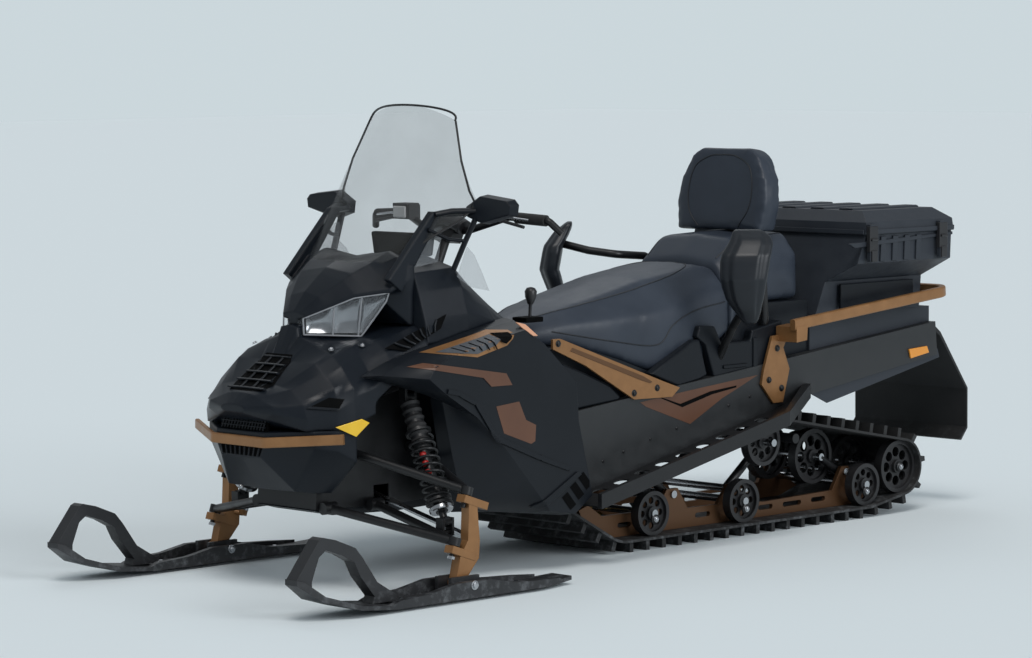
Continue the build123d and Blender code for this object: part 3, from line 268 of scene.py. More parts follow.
@dataclass(frozen=True)
class Clear:
    """A clear or tinted sheet, seen through in part."""

    name: str
    slot: str
    colour: Colour
    alpha: float
    roughness: float

    def material(self) -> Material:
        """Build the node material once, and give the same one from then on."""
        return bpy.data.materials.get(self.name) or self._build()

    def _build(self) -> Material:
        """Build the node material: a glossy sheet whose alpha varies a little with fine smears.

        Returns:
            The material.
        """
        made = bpy.data.materials.new(self.name)
        made.use_nodes = True
        tree = made.node_tree
        shader = tree.nodes["Principled BSDF"]
        feed(tree, shader, {"Base Color": (*self.colour, 1.0), "Specular IOR Level": 0.6})
        grain = add(tree, "Group", {}, node_tree=GRAIN)
        feed(tree, grain, {"Scale": SMEAR_SCALE, "Vector": add(tree, "TexCoord", {}).outputs["Object"]})
        for socket, low, high in (
            ("Alpha", self.alpha - 0.03, self.alpha + 0.03),
            ("Roughness", self.roughness, self.roughness + 0.05),
        ):
            span = add(tree, "MapRange", {"Value": grain.outputs["Cloud"], "To Min": low, "To Max": high})
            feed(tree, shader, {socket: span.outputs["Result"]})
        return made


BODY = Finish("body plastic", "black_plastic", (0.0085, 0.0110, 0.0150), (0.0068, 0.0088, 0.0120), 0.36,
              Texture.SATIN, specular=0.24, edge=0.0022)
SHELL = Finish("shell plastic", "black_plastic", (0.0080, 0.0112, 0.0165), (0.0066, 0.0092, 0.0135), 0.34,
               Texture.SATIN, specular=0.24, edge=0.010)
GUARD = Finish("guard plastic", "black_plastic", (0.0160, 0.0195, 0.0250), (0.0130, 0.0160, 0.0205), 0.38,
               Texture.SATIN, specular=0.35)
# Very dark, dull plastic. It is the real colour of the dash housing, the shift gate and the tunnel stripe.
# Where it is laid as dark films, blocks or plates over openings, vents and slots, it is painted shade
# standing in for their shaded recesses.
DARK_PLASTIC_AND_PAINTED_SHADE = Finish("inner plastic and painted shade", "black_plastic", (0.0022, 0.0024, 0.0027), (0.0015, 0.0016, 0.0018), 0.8,
              Texture.MOULDED, specular=0.08)
BOX = Finish("box plastic", "box_plastic", (0.030, 0.036, 0.046), (0.025, 0.030, 0.039), 0.48,
             Texture.MOULDED, specular=0.35, edge=0.003)
SKI = Finish("ski plastic", "ski_plastic", (0.020, 0.021, 0.024), (0.015, 0.016, 0.018), 0.48,
             Texture.MOULDED, edge=0.0015, frost=0.25, frost_top=0.12)
RUNNER = Finish("runner steel", "runner_steel", (0.36, 0.36, 0.37), (0.26, 0.26, 0.27), 0.35,
                Texture.BRUSHED, metallic=1.0)
BRONZE = Finish("bronze paint", "bronze_paint", (0.33, 0.165, 0.065), (0.27, 0.132, 0.050), 0.38,
                Texture.POWDER, metallic=0.35, edge=0.0015)
COPPER = Finish("copper film", "bronze_paint", (0.125, 0.052, 0.026), (0.100, 0.041, 0.021), 0.40,
                Texture.SATIN)
RAIL = Finish("anodised rail", "bronze_paint", (0.150, 0.075, 0.035), (0.110, 0.054, 0.025), 0.42,
              Texture.BRUSHED, metallic=0.5, edge=0.0012)
FRAME = Finish("black powder coat", "black_metal", (0.010, 0.0105, 0.012), (0.007, 0.0075, 0.0085), 0.38,
               Texture.POWDER, metallic=0.1, edge=0.0012)
TUNNEL = Finish("tunnel coat", "black_metal", (0.026, 0.028, 0.030), (0.021, 0.023, 0.025), 0.42,
                Texture.POWDER, metallic=0.1, edge=0.0012)
STEEL = Finish("zinc steel", "steel", (0.55, 0.56, 0.58), (0.42, 0.43, 0.45), 0.25, Texture.BRUSHED,
               metallic=1.0)
GOLD = Finish("gold body", "gold_metal", (0.55, 0.38, 0.12), (0.42, 0.28, 0.08), 0.32, Texture.BRUSHED,
              metallic=0.9)
RUBBER = Finish("track rubber", "rubber", (0.020, 0.021, 0.022), (0.013, 0.013, 0.014), 0.72,
                Texture.RUBBER, frost=0.22, frost_top=0.30)
GRIP = Finish("grip rubber", "rubber", (0.016, 0.016, 0.017), (0.011, 0.011, 0.012), 0.65,
              Texture.RUBBER)
WHEEL = Finish("wheel plastic", "wheel_plastic", (0.018, 0.018, 0.020), (0.012, 0.012, 0.013), 0.45,
               Texture.MOULDED, edge=0.001)
VINYL = Finish("seat vinyl", "seat_vinyl", (0.033, 0.043, 0.061), (0.026, 0.034, 0.049), 0.42,
               Texture.VINYL, specular=0.4)
CONTROL = Finish("control plastic", "control_plastic", (0.022, 0.022, 0.024), (0.016, 0.016, 0.018), 0.4,
                 Texture.MOULDED, edge=0.0008)
SCREEN = Clear("screen sheet", "screen_clear", (0.10, 0.105, 0.105), 0.16, 0.05)
DEFLECTOR = Clear("deflector sheet", "screen_clear", (0.30, 0.32, 0.34), 0.22, 0.05)
LENS = Clear("lamp lens", "lamp_clear", (0.30, 0.32, 0.34), 0.12, 0.04)
TAIL = Finish("tail lens", "tail_red", (0.45, 0.02, 0.015), (0.32, 0.012, 0.01), 0.2, Texture.SATIN,
              coat=0.6)
AMBER = Finish("amber lens", "lamp_clear", (0.85, 0.33, 0.02), (0.75, 0.25, 0.015), 0.22,
               Texture.SATIN, coat=0.6)
REFLECTOR = Finish("lamp reflector", "lamp_clear", (0.42, 0.44, 0.46), (0.22, 0.23, 0.25), 0.22,
                   Texture.BRUSHED, metallic=0.85)
RIM = Finish("lamp rim", "lamp_clear", (0.30, 0.31, 0.33), (0.24, 0.25, 0.27), 0.25, Texture.SATIN, coat=0.4)
MIRROR = Finish("mirror glass", "steel", (0.30, 0.32, 0.34), (0.26, 0.28, 0.30), 0.08, Texture.SATIN,
                metallic=1.0)
WHITE = Finish("white plastic", "control_plastic", (0.62, 0.63, 0.64), (0.55, 0.56, 0.57), 0.4,
               Texture.SATIN)
RED = Finish("red film", "tail_red", (0.45, 0.012, 0.010), (0.35, 0.010, 0.008), 0.4, Texture.SATIN)
ORANGE = Finish("orange film", "bronze_paint", (0.75, 0.40, 0.25), (0.66, 0.33, 0.20), 0.4, Texture.SATIN)
LOUVRE = Finish("louvre plastic", "black_plastic", (0.085, 0.093, 0.105), (0.060, 0.066, 0.075), 0.5,
                Texture.MOULDED)
PIPING = Finish("seat piping", "seat_vinyl", (0.012, 0.015, 0.020), (0.010, 0.012, 0.016), 0.5,
                Texture.VINYL)
YELLOW = Finish("yellow lens", "lamp_clear", (0.85, 0.55, 0.02), (0.78, 0.46, 0.015), 0.22,
                Texture.SATIN, coat=0.6)

NODE_FINISHES: dict[str, Finish | Clear] = {
    "black_plastic": BODY, "box_plastic": BOX, "ski_plastic": SKI, "runner_steel": RUNNER,
    "bronze_paint": BRONZE, "black_metal": FRAME, "steel": STEEL, "gold_metal": GOLD, "rubber": RUBBER,
    "wheel_plastic": WHEEL, "seat_vinyl": VINYL, "screen_clear": SCREEN, "lamp_clear": LENS,
    "tail_red": TAIL, "control_plastic": CONTROL,
}
NODE_EXTRAS: dict[str, Finish] = {
    "skid_rails": RAIL, "grips": GRIP, "tunnel": TUNNEL, "nose_cover": SHELL, "cowl": SHELL, "console": SHELL,
    "lower_nose": SHELL, "mirrors": SHELL,
}


def dress_nodes() -> None:
    """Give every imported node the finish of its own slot."""
    slots = {part["node"]: part["material_slot"] for part in frame["record"]["subparts"]}
    for name, node in frame["nodes"].items():
        finish = NODE_EXTRAS.get(name) or NODE_FINISHES[slots[name]]
        node.data.materials.clear()
        node.data.materials.append(finish.material())
    LOG.info("dressed %d nodes", len(frame["nodes"]))


# ---------------------------------------------------------------- shapes


MERGE = 1e-6
SOFT_ANGLE = 30.0
COIL_STEPS = 22
WIRE_SIDES = 8
AXES: dict[str, tuple[int, int, int]] = {"x": (0, 1, 2), "y": (1, 0, 2), "z": (2, 0, 1)}
SIDES: tuple[tuple[str, float], ...] = (("left", 1.0), ("right", -1.0))
FLANK_START = 640.0
NOSE_START = -1800.0
STRAY = 2.0
FLANGE = 1.35


@dataclass
class Shape:
    """Points in millimetres and the faces between them, ready to become one piece."""

    points: Array
    faces: list[tuple[int, ...]]

    def __add__(self, other: "Shape") -> "Shape":
        """Join two shapes.

        Args:
            other: The second shape, whose points and faces come after this one's.

        Returns:
            Both as one shape.
        """
        start = len(self.points)
        moved = [tuple(index + start for index in face) for face in other.faces]
        return Shape(np.vstack((self.points, other.points)), self.faces + moved)

    def shifted(self, x: float, y: float, z: float) -> "Shape":
        """Give the shape moved by x, y and z."""
        return Shape(self.points + np.array((x, y, z)), self.faces)

    def mirrored(self) -> "Shape":
        """Give the shape's mirror image across the vehicle's middle plane."""
        return Shape(self.points * np.array((-1.0, 1.0, 1.0)), [face[::-1] for face in self.faces])

    def both(self) -> "Shape":
        """Give the shape and its mirror image as one."""
        return self + self.mirrored()

    def piece(self, name: str, finish: Finish | Clear, body: str = "chassis", soft: float = 0.0,
              smooth: float = 35.0) -> Piece:
        """Make the shape one piece of the scene.

        Args:
            name: Name of the piece.
            finish: Its finish.
            body: The body that it moves with.
            soft: Width of its rounded edges in millimetres.
            smooth: Edges flatter than this many degrees are shaded smooth.

        Returns:
            The new object.
        """
        mesh = bpy.data.meshes.new(name)
        mesh.from_pydata((self.points * MM).tolist(), [], self.faces)
        mesh.materials.append(finish.material())
        made = placed(name, mesh)
        tidy(made, smooth)
        if soft > 0:
            round_edges(made, soft)
        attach(made, body)
        return made


def placed(name: str, data: bpy.types.ID) -> Piece:
    """Put a mesh, a lamp or a camera into the scene, and report it.

    Args:
        name: Name of the object.
        data: The mesh, lamp or camera.

    Returns:
        The new object.
    """
    made = bpy.data.objects.new(name, data)
    bpy.context.collection.objects.link(made)
    LOG.info("placed %s", name)
    return made


def joined(shapes: Iterable[Shape]) -> Shape:
    """Join shapes, in their order, into one."""
    return sum(shapes, Shape(np.empty((0, 3)), []))


def tidy(made: Piece, smooth: float) -> None:
    """Merge doubled points, turn faces outward and shade flat edges smooth.

    Args:
        made: The piece.
        smooth: Edges flatter than this many degrees are shaded smooth.
    """
    work = bmesh.new()
    work.from_mesh(made.data)
    bmesh.ops.remove_doubles(work, verts=work.verts, dist=MERGE)
    bmesh.ops.recalc_face_normals(work, faces=work.faces)
    work.to_mesh(made.data)
    work.free()
    made.data.shade_smooth()
    made.data.set_sharp_from_angle(angle=radians(smooth))


def round_edges(made: Piece, width: float) -> None:
    """Round the sharp edges of a piece.

    Args:
        made: The piece.
        width: Width of the rounding in millimetres.
    """
    bevel = made.modifiers.new("soft edges", "BEVEL")
    bevel.width = width * MM
    bevel.segments = 2
    bevel.limit_method = "ANGLE"
    bevel.angle_limit = radians(SOFT_ANGLE)
    bevel.harden_normals = True


def grid(rows: Array, closed_v: bool = False, caps: bool = False) -> Shape:
    """Join a two-parameter grid of points into a surface.

    Args:
        rows: Points with the shape (u, v, 3).
        closed_v: Whether the last v column joins the first.
        caps: Whether the first and last u rows are filled.

    Returns:
        The surface. Face (u, v) joins point (u, v) to its neighbours at u + 1 and v + 1.
    """
    count_u, count_v = rows.shape[:2]
    u = np.arange(count_u - 1)[:, None]
    v = np.arange(count_v if closed_v else count_v - 1)[None, :]
    here, beyond = u * count_v, (u + 1) * count_v
    next_v = (v + 1) % count_v
    quads = np.stack((here + v, here + next_v, beyond + next_v, beyond + v), -1)
    faces = [tuple(face) for face in quads.reshape(-1, 4).tolist()]
    if caps:
        faces += [tuple(range(count_v))[::-1], tuple(range((count_u - 1) * count_v, count_u * count_v))]
    return Shape(rows.reshape(-1, 3).astype(float), faces)


def frames(path: Array) -> tuple[Array, Array]:
    """Give two directions square to a path at each of its points.

    Args:
        path: Points with the shape (n, 3).

    Returns:
        For each point, with ahead the path's direction, side = ahead x up and rise = side x ahead,
        where up is the world's up, or backward where the path is upright.
    """
    ahead = np.gradient(path, axis=0)
    ahead /= np.linalg.norm(ahead, axis=1, keepdims=True)
    up = np.array((0.0, 0.0, 1.0)) if np.abs(ahead[:, 2]).max() < 0.95 else np.array((0.0, 1.0, 0.2))
    side = np.cross(ahead, up)
    side /= np.linalg.norm(side, axis=1, keepdims=True)
    return side, np.cross(side, ahead)


def smoothed(points: list[Point], steps: int = 8) -> Array:
    """Run a smooth line through points.

    Args:
        points: The points.
        steps: Steps between each two points.

    Returns:
        Points of the Catmull-Rom curve: each run is the cubic whose end slopes are half the chord
        between its neighbours.
    """
    knots = np.array(points, float)
    padded = np.vstack((2 * knots[0] - knots[1], knots, 2 * knots[-1] - knots[-2]))
    t = np.linspace(0, 1, steps, endpoint=False)[None, :, None]
    a, b, c, d = (padded[k:len(padded) - 3 + k, None, :] for k in range(4))
    square, cube = (2 * a - 5 * b + 4 * c - d) * t**2, (3 * b - a - 3 * c + d) * t**3
    run = 0.5 * (2 * b + (c - a) * t + square + cube)
    return np.vstack((run.reshape(-1, 3), knots[-1]))


def tube(path: Array | list[Point], radius: float, flat: float = 1.0, sides: int = 12) -> Shape:
    """Sweep a round or oval section along a path.

    Args:
        path: The path's points.
        radius: Radius of the section.
        flat: Share of the radius that is left along the rise direction.
        sides: Number of sides.

    Returns:
        Closed tube: point (u, v) is path(u) + radius (cos a side + flat sin a rise), a = v's angle.
    """
    line = np.asarray(path, float)
    side, rise = frames(line)
    angle = np.linspace(0, 2 * pi, sides, endpoint=False)[None, :, None]
    ring = np.cos(angle) * side[:, None] + flat * np.sin(angle) * rise[:, None]
    return grid(line[:, None] + radius * ring, closed_v=True, caps=True)


def lathe(profile: Flat, foot: Point, head: Point, sides: int = 24) -> Shape:
    """Turn a profile about an axis.

    Args:
        profile: Radius and distance along the axis, from one end to the other.
        foot: Where the distance is nought.
        head: A point that gives the axis its direction.
        sides: Number of sides.

    Returns:
        Closed shape: point (u, v) is foot + height(u) axis + radius(u) (cos a side + sin a rise).
    """
    start = np.array(foot, float)
    axis = np.array(head, float) - start
    axis /= np.linalg.norm(axis)
    helper = np.array((0.0, 0.0, 1.0)) if abs(axis[2]) < 0.9 else np.array((1.0, 0.0, 0.0))
    side = np.cross(axis, helper)
    side /= np.linalg.norm(side)
    rise = np.cross(side, axis)
    table = np.array(profile, float)
    angle = np.linspace(0, 2 * pi, sides, endpoint=False)
    ring = np.cos(angle)[:, None] * side + np.sin(angle)[:, None] * rise
    rows = start + table[:, 1, None, None] * axis + table[:, 0, None, None] * ring[None]
    return grid(rows, closed_v=True, caps=True)


def coil(foot: Point, head: Point, radius: float, wire: float, turns: float) -> Shape:
    """Wind a round wire about an axis.

    Args:
        foot: Where the winding starts.
        head: Where it ends.
        radius: Radius of the winding.
        wire: Radius of the wire.
        turns: Number of turns.

    Returns:
        Tube along foot + t (head - foot) + radius (cos 2 pi turns t side + sin 2 pi turns t rise).
    """
    start, end = np.array(foot, float), np.array(head, float)
    axis = (end - start) / np.linalg.norm(end - start)
    side = np.cross(axis, (0.0, 1.0, 0.0))
    side /= np.linalg.norm(side)
    rise = np.cross(side, axis)
    t = np.linspace(0, 1, int(turns * COIL_STEPS))[:, None]
    angle = 2 * pi * turns * t
    out = np.cos(angle) * side + np.sin(angle) * rise
    line = start + t * (end - start) + radius * out
    ahead = np.gradient(line, axis=0)
    ahead /= np.linalg.norm(ahead, axis=1, keepdims=True)
    across = np.cross(ahead, out)
    turn = np.linspace(0, 2 * pi, WIRE_SIDES, endpoint=False)[None, :, None]
    ring = np.cos(turn) * out[:, None] + np.sin(turn) * across[:, None]
    return grid(line[:, None] + wire * ring, closed_v=True, caps=True)


def prism(outline: Flat, axis: str, low: float, high: float) -> Shape:
    """Raise a flat outline along an axis.

    Args:
        outline: The outline in the two other coordinates, in alphabetical order.
        axis: "x", "y" or "z".
        low: Where it starts along the axis.
        high: Where it ends.

    Returns:
        Closed prism.
    """
    along, first, second = AXES[axis]
    rows = np.empty((2, len(outline), 3))
    rows[:, :, (first, second)] = np.array(outline, float)[None]
    rows[0, :, along], rows[1, :, along] = low, high
    return grid(rows, closed_v=True, caps=True)


def block(low: Point, high: Point) -> Shape:
    """Give an upright block between two corners."""
    corners = [(low[0], low[1]), (high[0], low[1]), (high[0], high[1]), (low[0], high[1])]
    return prism(corners, "z", low[2], high[2])


def plate(corners: list[Point], thick: float) -> Shape:
    """Give a plate between corners in space.

    Args:
        corners: The corners of its back.
        thick: Its thickness, away from a point half a metre up in the vehicle's middle.

    Returns:
        Closed plate: its front is the back moved along the normal of its first three corners.
    """
    back = np.array(corners, float)
    normal = np.cross(back[1] - back[0], back[2] - back[1])
    normal /= np.linalg.norm(normal)
    if normal @ (back.mean(axis=0) - np.array((0.0, 0.0, 500.0))) < 0:
        normal = -normal
    return grid(np.stack((back, back + thick * normal)), closed_v=True, caps=True)


def bolts(places: list[Point], axis: Point, radius: float, height: float) -> Shape:
    """Give a row of flanged hexagon bolts.

    Args:
        places: Where their flanges rest.
        axis: The direction in which they stand out.
        radius: Radius of the head.
        height: Height of the head over the flange.

    Returns:
        The bolts as one shape.
    """
    flange = [(radius * FLANGE, -1), (radius * FLANGE, 1), (radius * 1.1, 1.6)]
    head = [(radius, 1), (radius, height - 0.6), (radius * 0.85, height)]
    return joined(
        lathe(profile, place, tuple(np.array(place) + np.array(axis)), sides)
        for place in places
        for profile, sides in ((flange, 18), (head, 6))
    )


def film(name: str, outline: Flat, axis: str, start: float, onto: str, finish: Finish | Clear,
         lift: float = 0.8, thick: float = 0.0, cell: float = 7.0) -> None:
    """Lay a thin patch on a node.

    The outline is filled, cut into cells, and every point goes straight along the axis to the
    surface. What finds no surface is taken away.

    Args:
        name: Name of the piece.
        outline: The outline in the two other coordinates, in alphabetical order.
        axis: "x" or "y", the direction in which it is laid on.
        start: Where the patch starts along the axis; it goes towards the vehicle's middle.
        onto: The node that it lies on.
        finish: Its finish.
        lift: Height over the surface in millimetres, along the axis.
        thick: Thickness added outward in millimetres.
        cell: Size of the cells in millimetres.
    """
    along, first, second = AXES[axis]
    corners = np.zeros((len(outline), 3))
    corners[:, (first, second)] = np.array(outline, float)
    corners[:, along] = start
    mesh = cut_face(corners, along, (first, second), cell)
    mesh.materials.append(finish.material())
    made = placed(name, mesh)
    laid = made.modifiers.new("laid on", "SHRINKWRAP")
    laid.target = frame["nodes"][onto]
    laid.wrap_method = "PROJECT"
    laid.use_project_x, laid.use_project_y, laid.use_project_z = axis == "x", axis == "y", False
    laid.use_negative_direction, laid.use_positive_direction = start > 0, start < 0
    laid.offset = lift * MM
    settled(made)
    trim(made, along, start)
    if thick > 0:
        wall = made.modifiers.new("thickness", "SOLIDIFY")
        wall.thickness = thick * MM
        wall.offset = 1.0
    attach(made, "chassis")


def cut_face(corners: Array, along: int, lines: tuple[int, int], cell: float) -> bpy.types.Mesh:
    """Fill an outline and cut it into cells.

    Args:
        corners: Its corners in millimetres.
        along: Number of the coordinate that it is square to.
        lines: Numbers of the two others.
        cell: Size of the cells in millimetres.

    Returns:
        The mesh, facing away from the vehicle.
    """
    mesh = bpy.data.meshes.new("patch")
    work = bmesh.new()
    face = work.faces.new([work.verts.new(corner) for corner in (corners * MM).tolist()])
    face.normal_update()
    if (face.normal[along] > 0) != (corners[0, along] > 0):
        face.normal_flip()
    low, high = corners.min(axis=0), corners.max(axis=0)
    for line in lines:
        normal = np.eye(3)[line]
        for place in np.arange(low[line] + cell, high[line], cell):
            whole = work.verts[:] + work.edges[:] + work.faces[:]
            bmesh.ops.bisect_plane(work, geom=whole, plane_co=normal * (place * MM), plane_no=normal)
    bmesh.ops.triangulate(work, faces=work.faces)
    work.to_mesh(mesh)
    work.free()
    return mesh


def trim(made: Piece, along: int, start: float) -> None:
    """Take away the part of a patch that found no surface and so stayed where it started.

    Args:
        made: The patch.
        along: Number of the coordinate in which it was laid on.
        start: Where it started along that coordinate, in millimetres.
    """
    work = bmesh.new()
    work.from_mesh(made.data)
    stray = [vert for vert in work.verts if abs(vert.co[along] - start * MM) < STRAY * MM]
    bmesh.ops.delete(work, geom=stray, context="VERTS")
    work.to_mesh(made.data)
    work.free()


def settled(made: Piece) -> None:
    """Turn a piece's modifiers into its mesh.

    Args:
        made: The piece.
    """
    bpy.context.view_layer.update()
    fixed = bpy.data.meshes.new_from_object(made.evaluated_get(bpy.context.evaluated_depsgraph_get()))
    made.modifiers.clear()
    made.data = fixed


def side_films(name: str, outline: Flat, onto: str, finish: Finish | Clear, lift: float = 0.8,
               thick: float = 0.0) -> None:
    """Lay one patch on each flank.

    Args:
        name: Name of the pieces, to which the side is added.
        outline: The outline in Y and Z.
        onto: The node, with {side} where its name holds the side.
        finish: Their finish.
        lift: Height over the surface in millimetres.
        thick: Thickness added outward in millimetres.
    """
    for side, sign in SIDES:
        film(f"{name}_{side}", outline, "x", sign * FLANK_START, onto.format(side=side), finish, lift, thick)


# ---------------------------------------------------------------- front


@dataclass
class Nose:
    """Grilles, vents, reflectors and bolts of the nose."""

    grille: tuple[Point, Point] = ((0.0, -1345.0, 596.0), (0.0, -1222.0, 678.0))
    slats: int = 5
    half: float = 80.0
    taper: float = 20.0

    def build(self) -> None:
        """Build the nose's details in order."""
        self.upper_grille()
        self.mouth()
        self.lower_grille()
        self.lamps_and_bolts()
        self.vents()

    def upper_grille(self) -> None:
        """Build the opening in the nose as a dark film of painted shade, and its slats, which get shorter
        towards the top.
        """
        outline = [(-70, 588), (70, 588), (86, 604), (70, 664), (58, 686), (-58, 686), (-70, 664), (-86, 604)]
        # painted shade: a very dark film on the nose stands in for the shaded opening behind the slats
        film("grille_opening_painted_shade", outline, "y", NOSE_START, "nose_cover", DARK_PLASTIC_AND_PAINTED_SHADE, lift=0.6)
        foot, head = (np.array(end) for end in self.grille)
        bars = []
        for share in np.linspace(0, 1, self.slats):
            middle = foot + share * (head - foot)
            half = self.half - self.taper * share
            path = [middle + (x * half, 1.5 * abs(x), -1.0 * abs(x)) for x in (-1, -0.5, 0, 0.5, 1)]
            bars.append(tube(path, 7.0, flat=0.5))
        bars += [tube([foot + (x, 1, 0), head + (x, 1, 0)], 3.4) for x in (-26.0, 26.0)]
        joined(bars).piece("grille_slats", BODY)

    def mouth(self) -> None:
        """Build the mesh in the mouth under the nose, with a very dark block behind it as painted shade in
        the mouth.
        """
        # painted shade: a very dark block behind the mesh stands in for the shaded inside of the mouth
        block((-102, -1352, 474), (102, -1346, 511)).piece("mouth_back_painted_shade", DARK_PLASTIC_AND_PAINTED_SHADE)
        places = np.linspace(-92, 92, 15)
        ribs = [tube([(x - 5, -1358, 476), (x + 5, -1354, 508)], 2.6, sides=8) for x in places]
        ribs += [tube([(-98, -1358, z), (98, -1358, z)], 1.8, sides=8) for z in (486.0, 498.0)]
        joined(ribs).piece("mouth_mesh", BODY)

    def lower_grille(self) -> None:
        """Build the lowest opening as a dark film of painted shade, and its fins."""
        outline = [(-84, 402), (84, 402), (98, 428), (-98, 428)]
        # painted shade: a very dark film on the lower nose stands in for the shaded opening
        film("lower_grille_opening", outline, "y", NOSE_START, "lower_nose", DARK_PLASTIC_AND_PAINTED_SHADE, lift=0.6)
        joined(
            tube([(x, -1372, 403), (x * 1.1, -1371, 427)], 3.2, flat=0.8, sides=8)
            for x in np.linspace(-78, 78, 9)
        ).piece("lower_grille_fins", BODY)

    def lamps_and_bolts(self) -> None:
        """Build the front reflectors, the fog vents as dark films of painted shade, and the hood's bolts."""
        yellow = plate([(271, -1242, 491), (295, -1162, 511), (296, -1134, 498), (293, -1183, 461)], 3.0)
        yellow.both().piece("front_reflectors", YELLOW, soft=1.0)
        vent = [(-1298, 549), (-1247, 575), (-1208, 569), (-1226, 543)]
        # painted shade: very dark films on the nose stand in for the shaded fog vent openings
        side_films("fog_vent", vent, "nose_cover", DARK_PLASTIC_AND_PAINTED_SHADE)
        lip = [(-1306, 545), (-1230, 537), (-1222, 543), (-1296, 551)]
        side_films("fog_vent_lip", lip, "nose_cover", BODY, thick=4.0)
        heads = bolts([(172.0, -1168.0, 704.0), (206.0, -1078.0, 712.0)], (0.35, -0.3, 0.9), 6.0, 5.0)
        heads.both().piece("hood_bolts", STEEL)

    def vents(self) -> None:
        """Build the cooling vents as a very dark back plate of painted shade, and their bent ribs."""
        # painted shade: a very dark plate behind the ribs stands in for the shaded vent openings
        back = plate([(256, -1037, 703), (293, -826, 793), (297, -853, 752), (288, -982, 694)], 3.0)
        back.both().piece("cooling_vents_painted_shade", DARK_PLASTIC_AND_PAINTED_SHADE)
        strips = []
        for share in (0.12, 0.28, 0.42, 0.56, 0.7, 0.84):
            low = np.array((292, -985, 696)) * (1 - share) + np.array((300, -856, 752)) * share
            high = np.array((262, -1030, 708)) * (1 - share) + np.array((297, -832, 791)) * share
            strips.append(tube([low, low * 0.5 + high * 0.5 + (3, -6, 0), high], 3.6, sides=8))
        joined(strips).both().piece("cooling_vent_ribs", BODY)


@dataclass
class Headlights:
    """Reflectors and rims behind the clear lenses."""

    foot: tuple[Point, ...] = ((46, -1163, 740), (83, -1120, 738), (135, -1059, 735), (155, -1035, 734),
                               (212, -988, 836))
    top: tuple[Point, ...] = ((43, -1163, 787), (87, -1120, 811), (150, -1059, 846), (174, -1035, 851),
                              (222, -987, 860))
    inward: Point = (-0.70, 0.70, 0.12)
    bowls: int = 3
    inset: float = 6.0
    depth: float = 15.0

    def edge(self, rows: tuple[Point, ...], share: Array) -> Array:
        """Give points along one edge of the lens.

        Args:
            rows: The edge's corners.
            share: Where the points are, from 0 at the middle of the vehicle to 1 at the outer tip.

        Returns:
            The points, straight between the corners.
        """
        table = np.array(rows, float)
        place = np.linspace(0, 1, len(table))
        return np.stack([np.interp(share, place, table[:, k]) for k in range(3)], axis=-1)

    def build(self) -> None:
        """Build reflectors, rims and dividers.

        The reflector's point (s, t) lies between the lens's lower and upper edge, set back by inset +
        depth (1 - a^4)(1 - b^2), where a runs from -1 to 1 over each bowl and b over its height.
        """
        inward = np.array(self.inward)
        s = np.linspace(0.03, 0.97, 61)
        t = np.linspace(0.06, 0.94, 15)
        low, high = self.edge(self.foot, s), self.edge(self.top, s)
        flat = low[:, None] + (high - low)[:, None] * t[None, :, None]
        a = 2 * ((s * self.bowls) % 1.0) - 1
        b = 2 * t - 1
        back = self.inset + self.depth * (1 - a[:, None] ** 4) * (1 - b[None] ** 2)
        grid(flat + back[..., None] * inward).both().piece("reflectors", REFLECTOR, smooth=50.0)
        whole = np.linspace(0, 1, 24)
        rim_low, rim_high = self.edge(self.foot, whole), self.edge(self.top, whole)
        loop = np.vstack((rim_low, rim_high[::-1], rim_low[:1]))
        tube(loop - inward, 2.6, sides=8).both().piece("lamp_rims", RIM)
        joined(
            tube([self.edge(rows, np.array((share,)))[0] + 4 * inward for rows in (self.foot, self.top)], 3.0)
            for share in (1 / 3, 2 / 3)
        ).both().piece("lamp_dividers", RIM)


